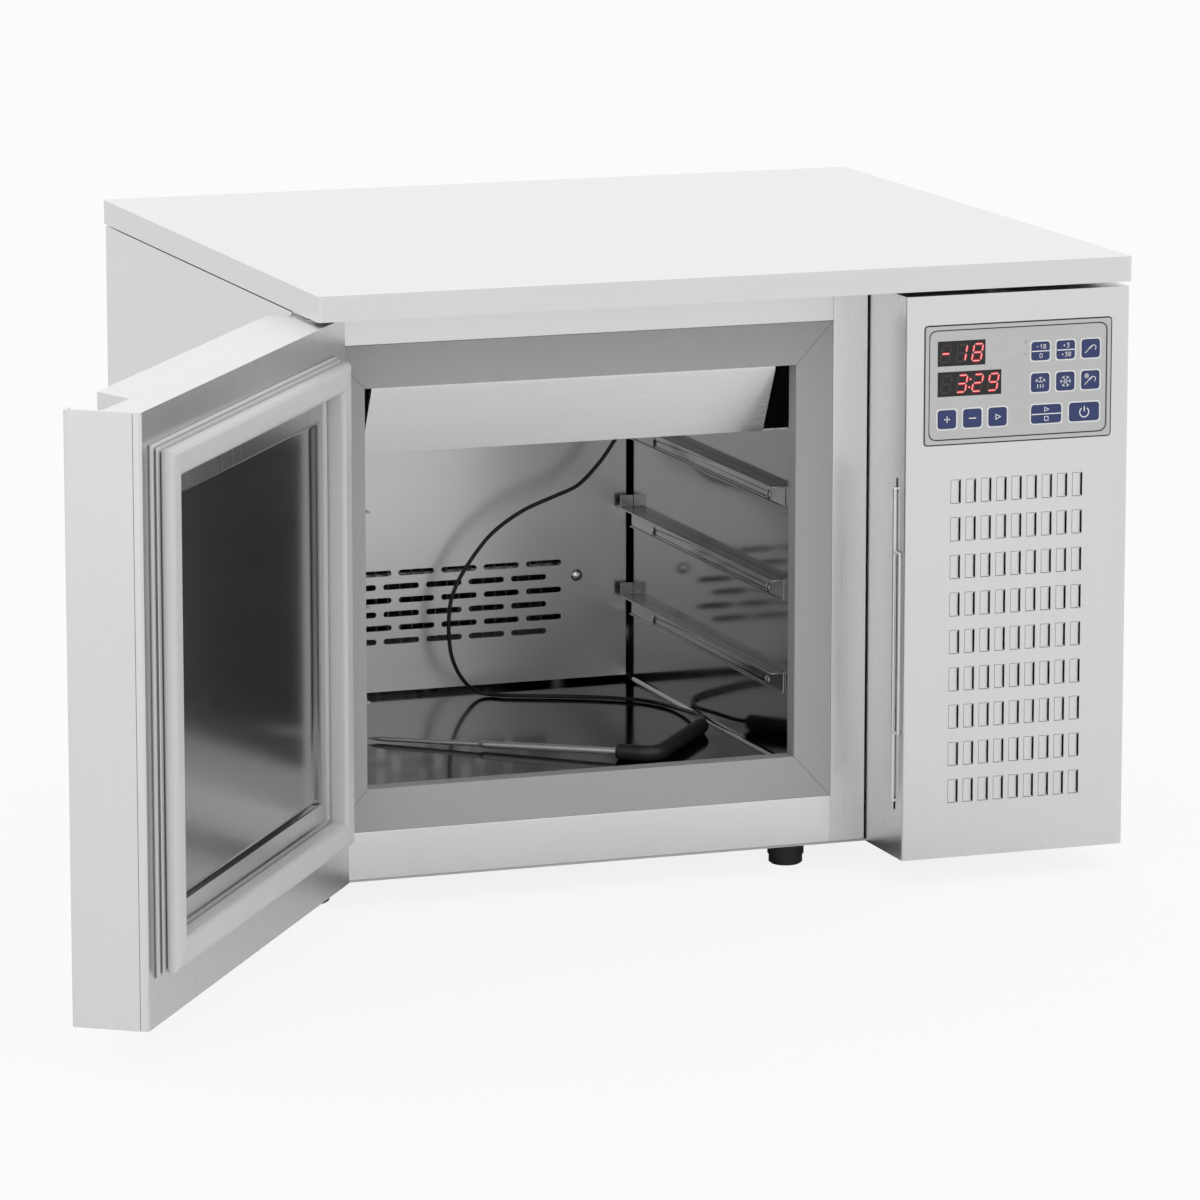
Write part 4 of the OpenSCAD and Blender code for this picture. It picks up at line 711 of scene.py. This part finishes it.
def stroke(path, width, front, closed=False, ink=INK):
    """A strip round the path (x, z in mm) whose back lies at y = front. The side's
    offset is (n1 + n2) / (1 + n1 . n2) times half the width, for the normals n1 and n2
    of the pieces before and after a point."""
    p = np.asarray(path, float)
    before, after = p - np.roll(p, 1, 0), np.roll(p, -1, 0) - p
    if not closed:
        before[0], after[-1] = after[0], before[-1]
    n1, n2 = (np.stack([-d[:, 1], d[:, 0]], 1) / np.linalg.norm(d, axis=1, keepdims=True)
              for d in (before, after))
    mitre = (n1 + n2) / (1 + np.sum(n1 * n2, 1, keepdims=True)) * width / 2
    sides = [(p + mitre, front - ink), (p + mitre, front), (p - mitre, front),
             (p - mitre, front - ink)]
    grid = np.stack([np.stack([q[:, 0], np.full(len(q), y), q[:, 1]], 1)
                     for q, y in sides], 1) * MM
    return shell(grid, round_rows=closed, round_columns=True, caps=not closed)


def round_box(middle, width, height, radius, steps=CORNER_STEPS):
    """A rectangle with round corners about its middle."""
    w, h = width / 2, height / 2
    box = [(-w, -h), (w, -h), (w, h), (-w, h)]
    return round_corners(box, radius, steps) + np.asarray(middle, float)


def bend(middle, radius, start, end, count=14):
    """An arc about its middle, between two angles in degrees."""
    a = np.radians(np.linspace(start, end, count))
    return np.asarray(middle, float) + radius * np.stack([np.cos(a), np.sin(a)], 1)


print("strokes ready")

# %% [markdown]
# ## Pictograms
# Each key shows a plain sign, such as figures, a snowflake, a probe or a triangle.
# All are lists of paths with a width, so a few small functions make every one of them.

# %% Pictograms
KEYS = {"plus": (-57.5, -25.9, 14.6), "minus": (-36.9, -25.9, 14.6),
        "set": (-16.4, -25.9, 14.6), "chill_time": (18, 22, 14.6),
        "freeze_time": (38.5, 22, 14.6), "chill_probe": (59, 22, 14.6),
        "defrost": (18, -1.9, 14.6), "freeze": (38.5, -1.9, 14.6),
        "freeze_probe": (59, -1.9, 14.6), "start_stop": (23.2, -25.9, 24.2),
        "power": (54.2, -25.9, 24.2)}
KEY_H = 13.7
# Paths of plain figures in a box one wide and 1.6 high
FIGURES = {"0": [(0.15, 0), (0.85, 0), (1, 0.25), (1, 1.35), (0.85, 1.6), (0.15, 1.6),
                 (0, 1.35), (0, 0.25), (0.15, 0)],
           "1": [(0.2, 1.2), (0.6, 1.6), (0.6, 0)],
           "3": [(0, 1.6), (1, 1.6), (0.4, 0.95), (0.8, 0.9), (1, 0.6), (0.9, 0.15),
                 (0.6, 0), (0, 0)],
           "8": [(0.5, 0.85), (0.05, 1.1), (0.1, 1.5), (0.5, 1.6), (0.9, 1.5),
                 (0.95, 1.1), (0.5, 0.85), (0, 0.5), (0.1, 0.1), (0.5, 0), (0.9, 0.1),
                 (1, 0.5), (0.5, 0.85)],
           "-": [(0, 0.8), (0.9, 0.8)]}


def figures(text, middle, size=1.9, width=0.42, pitch=1.5):
    """Paths of a short row of figures about its middle, and the plus sign's two bars."""
    found = []
    for k, sign in enumerate(text):
        at = np.array([(k - len(text) / 2 + 0.25) * pitch, -0.8])
        bars = ([[(0, 0.8), (0.9, 0.8)], [(0.45, 0.35), (0.45, 1.25)]] if sign == "+"
                else [FIGURES[sign]])
        found += [((np.array(bar) + at) * size + middle, width, False) for bar in bars]
    return found


def snow(middle, radius, arms, width=0.5):
    """Arms at even angles from near the middle, each with a short fork at its end."""
    found = []
    for angle in arms:
        c, s = math.cos(math.radians(angle)), math.sin(math.radians(angle))
        turn = np.array([(c, s), (-s, c)])
        for path in ([(0.5, 0), (radius, 0)],
                     [(radius - 0.4, 1.2), (radius - 1.6, 0), (radius - 0.4, -1.2)]):
            found.append((np.array(path) @ turn + middle, width, False))
    return found


def probe_sign(middle, size=1.0, width=0.55):
    """A slanting needle whose cord turns round above it in a hook."""
    needle = np.array([(-4.6, -3.4), (-1.2, 0.2)]) * size + middle
    grip = np.array([(-1.6, -0.2), (1.0, 2.0)]) * size + middle
    hook = bend(np.array([2.2, 0.6]) * size + middle, 1.9 * size, 130, -60)
    return [(needle, width, False), (grip, width * 2, False), (hook, width, False)]


print("pictogram helpers ready")

# %% [markdown]
# ## Signs on their keys
# A picture could be laid on each cap, but a drawn path stays sharp from near by. One
# table holds each key's sign as (path, width, closed), in millimetres about the key's
# middle. A sign rides on its key's body, so it goes down with the key.

# %% Signs of the keys
SIX_WAYS = range(0, 360, 60)
SIGNS = {
    "plus": [([(-2.4, 0), (2.4, 0)], 0.8, False), ([(0, -2.4), (0, 2.4)], 0.8, False)],
    "minus": [([(-2.9, 0), (2.9, 0)], 0.8, False)],
    "set": [([(-1.6, -1.9), (2.2, 0), (-1.6, 1.9)], 0.6, True)],
    "chill_time": [([(-7.3, 0), (7.3, 0)], 0.8, False)]
    + figures("-18", (0, 3.4)) + figures("0", (0, -3.4)),
    "freeze_time": [([(-7.3, 0), (7.3, 0)], 0.8, False)]
    + figures("+3", (0, 3.4)) + figures("+38", (0, -3.4)),
    "chill_probe": probe_sign((0, 0)),
    "defrost": snow((0, 0), 4.4, (30, 90, 150)) + [([(x, -1.2), (x, -4.0)], 0.6, False)
                                                  for x in (-2.2, 0, 2.2)],
    "freeze": snow((0, 0), 4.4, SIX_WAYS),
    "freeze_probe": probe_sign((0, 0)) + snow((-3.2, 3.2), 1.9, SIX_WAYS, 0.3),
    "start_stop": [([(-12.1, 0), (12.1, 0)], 0.8, False),
                   ([(-1.4, 1.9), (1.9, 3.5), (-1.4, 5.1)], 0.5, True),
                   ([(-1.5, -5), (1.5, -5), (1.5, -2), (-1.5, -2)], 0.5, True)],
    "power": [(bend((0, -0.3), 3.7, 125, 415, 24), 0.85, False),
              ([(0, 0.2), (0, 4.4)], 0.85, False)],
}
KEY_FACE = Y_FRONT - 0.4                # the caps stand 0.4 mm proud of the panel
for key, (x, z, width) in KEYS.items():
    middle = (PANEL_X + x, PANEL_Z + z)
    shells = [stroke(np.array(path) + middle, thick, KEY_FACE, closed)
              for path, thick, closed in SIGNS[key]]
    link(f"sign_{key}", mesh_of(f"sign_{key}", shells), f"key_{key}_cap", print_white)

# %% [markdown]
# ## Lines of the panel
# A white line is printed round each key, and two dark seams run round the panel: one
# at the inner edge of its raised rim and one in the gap between it and the sheet. Each
# is a closed stroke along a rectangle with round corners.

# %% Lines round the keys, and the panel's two seams
LINE_GAP, LINE_ROUND, LINE_W = 1.5, 2.6, 1.05
SEAMS = [(144.1, 82.6, 6.5, 0.9), (151.6, 90.1, 2.8, 1.1)]  # width, height, corner, line
lines = [stroke(round_box((PANEL_X + x, PANEL_Z + z), width + LINE_GAP, KEY_H + LINE_GAP,
                          LINE_ROUND), LINE_W, Y_FRONT, True)
         for x, z, width in KEYS.values()]
link("key_lines", mesh_of("key_lines", lines), "cabinet", print_white)
seams = [stroke(round_box((PANEL_X, PANEL_Z), width, height, corner), thick, Y_FRONT, True)
         for width, height, corner, thick in SEAMS]
link("panel_seams", mesh_of("panel_seams", seams), "cabinet", seam_dark)

# %% [markdown]
# ## Cut lines, the fold's painted shade and the hem
# Each louvre is lanced: the sheet is cut along three sides and pressed in. Its top and
# bottom cut show as dark gaps, and the shade along the fold at its left is painted; all
# three are lines under half a millimetre wide, and they are what draws the field of
# rectangles on the plain sheet. The door's end shows such a line too, where the outer
# skin is folded over the inner one.

# %% Lines of the louvres and of the door's end
COUNT, LOUVRE_W, LOUVRE_H = 9, 8.2, 17.9
ACROSS, DOWN, TOP = 12.4, 28.7, 289.8   # the field's two pitches and its upper edge
OPEN_SIDE, CUT_AND_FOLD_W, THIN_INK = 0.9, 0.4, 0.02
left = PANEL_X - ((COUNT - 1) * ACROSS + LOUVRE_W) / 2
cut_lines_and_fold_shade = []
# Each stroke runs along the top cut, the painted shade of the left fold and the bottom cut
for i in range(COUNT):
    for j in range(COUNT):
        x0, z1 = left + i * ACROSS, TOP - j * DOWN
        x1, z0 = x0 + LOUVRE_W - OPEN_SIDE, z1 - LOUVRE_H
        cut_lines_and_fold_shade.append(stroke([(x1, z1), (x0, z1), (x0, z0), (x1, z0)], CUT_AND_FOLD_W, Y_FRONT,
                           ink=THIN_INK))
link("louvre_lines", mesh_of("louvre_lines", cut_lines_and_fold_shade), "cabinet", shade_line)
HEM_T, HEM_END = (52.0, 52.5), 1.0      # from the door's outer face, and short of its ends
t, z = np.meshgrid(HEM_T, (HEM_END, DOOR_H - HEM_END), indexing="ij")
outer = at_door(np.full_like(t, DOOR_W + THIN_INK), t, z)
inner = at_door(np.full_like(t, DOOR_W), t, z)
hem = np.stack([outer[0, 0], outer[1, 0], inner[1, 0], inner[0, 0],
                outer[0, 1], outer[1, 1], inner[1, 1], inner[0, 1]]).reshape(2, 4, 3)
hem_mesh = mesh_of("door_hem_line", [shell(hem, round_columns=True, caps=True)])
link("door_hem_line", hem_mesh, "door", shade_line)

# %% [markdown]
# ## Faint marks
# Beside the windows the film has six small signs that only show when they are lit.
# They are hardly lighter than the film, so the same strokes get a paler ink.

# %% Faint marks beside the windows
faint = []
MARK_COLUMNS = ((-15.2, "probe"), (-3.4, "probe"), (5.6, "snow"))
MARK_ROWS = (29.5, 20.5)
for column, sign in MARK_COLUMNS:
    for row in MARK_ROWS:
        middle = np.array([PANEL_X + column, PANEL_Z + row])
        faint += (probe_sign(middle, 0.45, 0.4) if sign == "probe"
                  else snow(middle, 2.0, SIX_WAYS, 0.3))
link("faint_marks", mesh_of("faint_marks", [stroke(path, thick, Y_FRONT, closed)
                                            for path, thick, closed in faint]),
     "cabinet", print_faint)

# %% [markdown]
# ## Lit figures
# Each window holds seven-segment displays, 12.6 mm high between the middles of their
# bars and leaning by a sixth. A segment is a six-sided bar. The dark ones still show
# faintly, the lit ones glow red, and a bright core lies on them, because a camera sees
# the middle of a lit bar almost white.

# %% Seven segments
SEG_W, SEG_H, LEAN = 7.2, 12.6, 0.17
SEG_GAP, SEG_DEEP = 0.5, 0.02
NODE = {"A": (0, 2), "B": (1, 2), "C": (0, 1), "D": (1, 1), "E": (0, 0), "F": (1, 0)}
BARS = {"a": "AB", "b": "BD", "c": "DF", "d": "EF", "e": "CE", "f": "AC", "g": "CD"}
SHOWN = {"-": "g", "1": "bc", "8": "abcdefg", "3": "abcdg", "2": "abdeg", "9": "abcdfg",
         " ": ""}


def segment(middle, bar, thick, front):
    """One bar of a display about its middle: a hexagon between two of the six nodes,
    pulled in from them by SEG_GAP, sheared by LEAN and SEG_DEEP deep."""
    p, q = (np.array([(NODE[n][0] - 0.5) * SEG_W, (NODE[n][1] - 1) * SEG_H / 2])
            for n in BARS[bar])
    way = (q - p) / np.linalg.norm(q - p)
    across = np.array([-way[1], way[0]])
    p, q = p + way * SEG_GAP, q - way * SEG_GAP
    t = thick / 2
    hexagon = np.array([p, p + t * (way + across), q + t * (across - way), q,
                        q - t * (way + across), p + t * (way - across)])
    hexagon[:, 0] += hexagon[:, 1] * LEAN
    hexagon += middle
    rows = np.stack([np.stack([hexagon[:, 0], np.full(6, y), hexagon[:, 1]], 1)
                     for y in (front, front - SEG_DEEP)]) * MM
    return shell(rows, round_columns=True, caps=True)


print("segment maker ready")

# %% [markdown]
# ## Light of the bars
# A lit bar gives off its own light, so it looks the same whatever the lamps do. An
# emission node does that, and a noise in its strength keeps the bar from looking like
# a flat print.

# %% Glowing surfaces
UNEVEN, GLOW_GRAIN = 0.1, 400


def glow(name, color, strength):
    """A surface that gives off its own light, a little uneven, as a lit bar is: a noise
    changes the strength by up to UNEVEN of it either way."""
    material = bpy.data.materials.new(name)
    tree, add = node_tree(material)
    place, noise, level = (add("ShaderNodeTexCoord"), add("ShaderNodeTexNoise"),
                           add("ShaderNodeMapRange"))
    light, out = add("ShaderNodeEmission"), add("ShaderNodeOutputMaterial")
    fill(noise, {"Scale": GLOW_GRAIN})
    fill(level, {"To Min": strength * (1 - UNEVEN), "To Max": strength * (1 + UNEVEN)})
    fill(light, {"Color": (*color, 1)})
    join(tree, (place.outputs["Object"], noise.inputs["Vector"]),
         (noise.outputs["Fac"], level.inputs["Value"]),
         (level.outputs["Result"], light.inputs["Strength"]),
         (light.outputs[0], out.inputs["Surface"]))
    return material


glow_red = glow("glow_red", (0.70, 0.015, 0.03), 1.0)
glow_core = glow("glow_core", (1.0, 0.50, 0.48), 1.0)
print("glowing surfaces ready")

# %% [markdown]
# ## The figures shown
# The upper window shows a temperature, the lower one a time with its two dots. Each
# figure stands at its place in the window, so all lit bars, all bright cores and all
# dark bars become one mesh each.

# %% Figures in both windows
# Each window's left edge, its middle less half its width, and the height of its middle
UPPER_LEFT, UPPER_Z = -46.1 - 19.3, 23.7
LOWER_LEFT, LOWER_Z = -39.5 - 25.8, 0.6
ROWS = [("-18", UPPER_LEFT + np.array([6.6, 19.4, 32.2]), UPPER_Z),
        (" 329", LOWER_LEFT + np.array([7.0, 19.7, 32.4, 45.1]), LOWER_Z)]
BAR_Y, CORE_Y = Y_FRONT + 0.1, Y_FRONT + 0.075  # the core lies before the lit bar
RED_W, CORE_W, DARK_W = 2.2, 0.8, 1.3
DOTS_X, DOTS_Z, DOT_RED, DOT_CORE = 26.2, (-3.0, 3.0), 1.9, 1.1
dark, red, core = [], [], []
for text, places, height in ROWS:
    for sign, x in zip(text, places):
        middle = np.array([PANEL_X + x, PANEL_Z + height])
        for bar in BARS:
            if bar in SHOWN[sign]:
                red.append(segment(middle, bar, RED_W, BAR_Y))
                core.append(segment(middle, bar, CORE_W, CORE_Y))
            else:
                dark.append(segment(middle, bar, DARK_W, BAR_Y))
for dot in DOTS_Z:
    at = np.array([PANEL_X + LOWER_LEFT + DOTS_X + dot * LEAN, PANEL_Z + LOWER_Z + dot])
    for bars, width, front in ((red, DOT_RED, BAR_Y), (core, DOT_CORE, CORE_Y)):
        bars.append(stroke([at - (width / 2, 0), at + (width / 2, 0)], width, front,
                           ink=THIN_INK))
for name, bars, material in (("digits_dark", dark, segment_off),
                             ("digits_red", red, glow_red),
                             ("digits_core", core, glow_core)):
    link(name, mesh_of(name, bars), "cabinet", material)
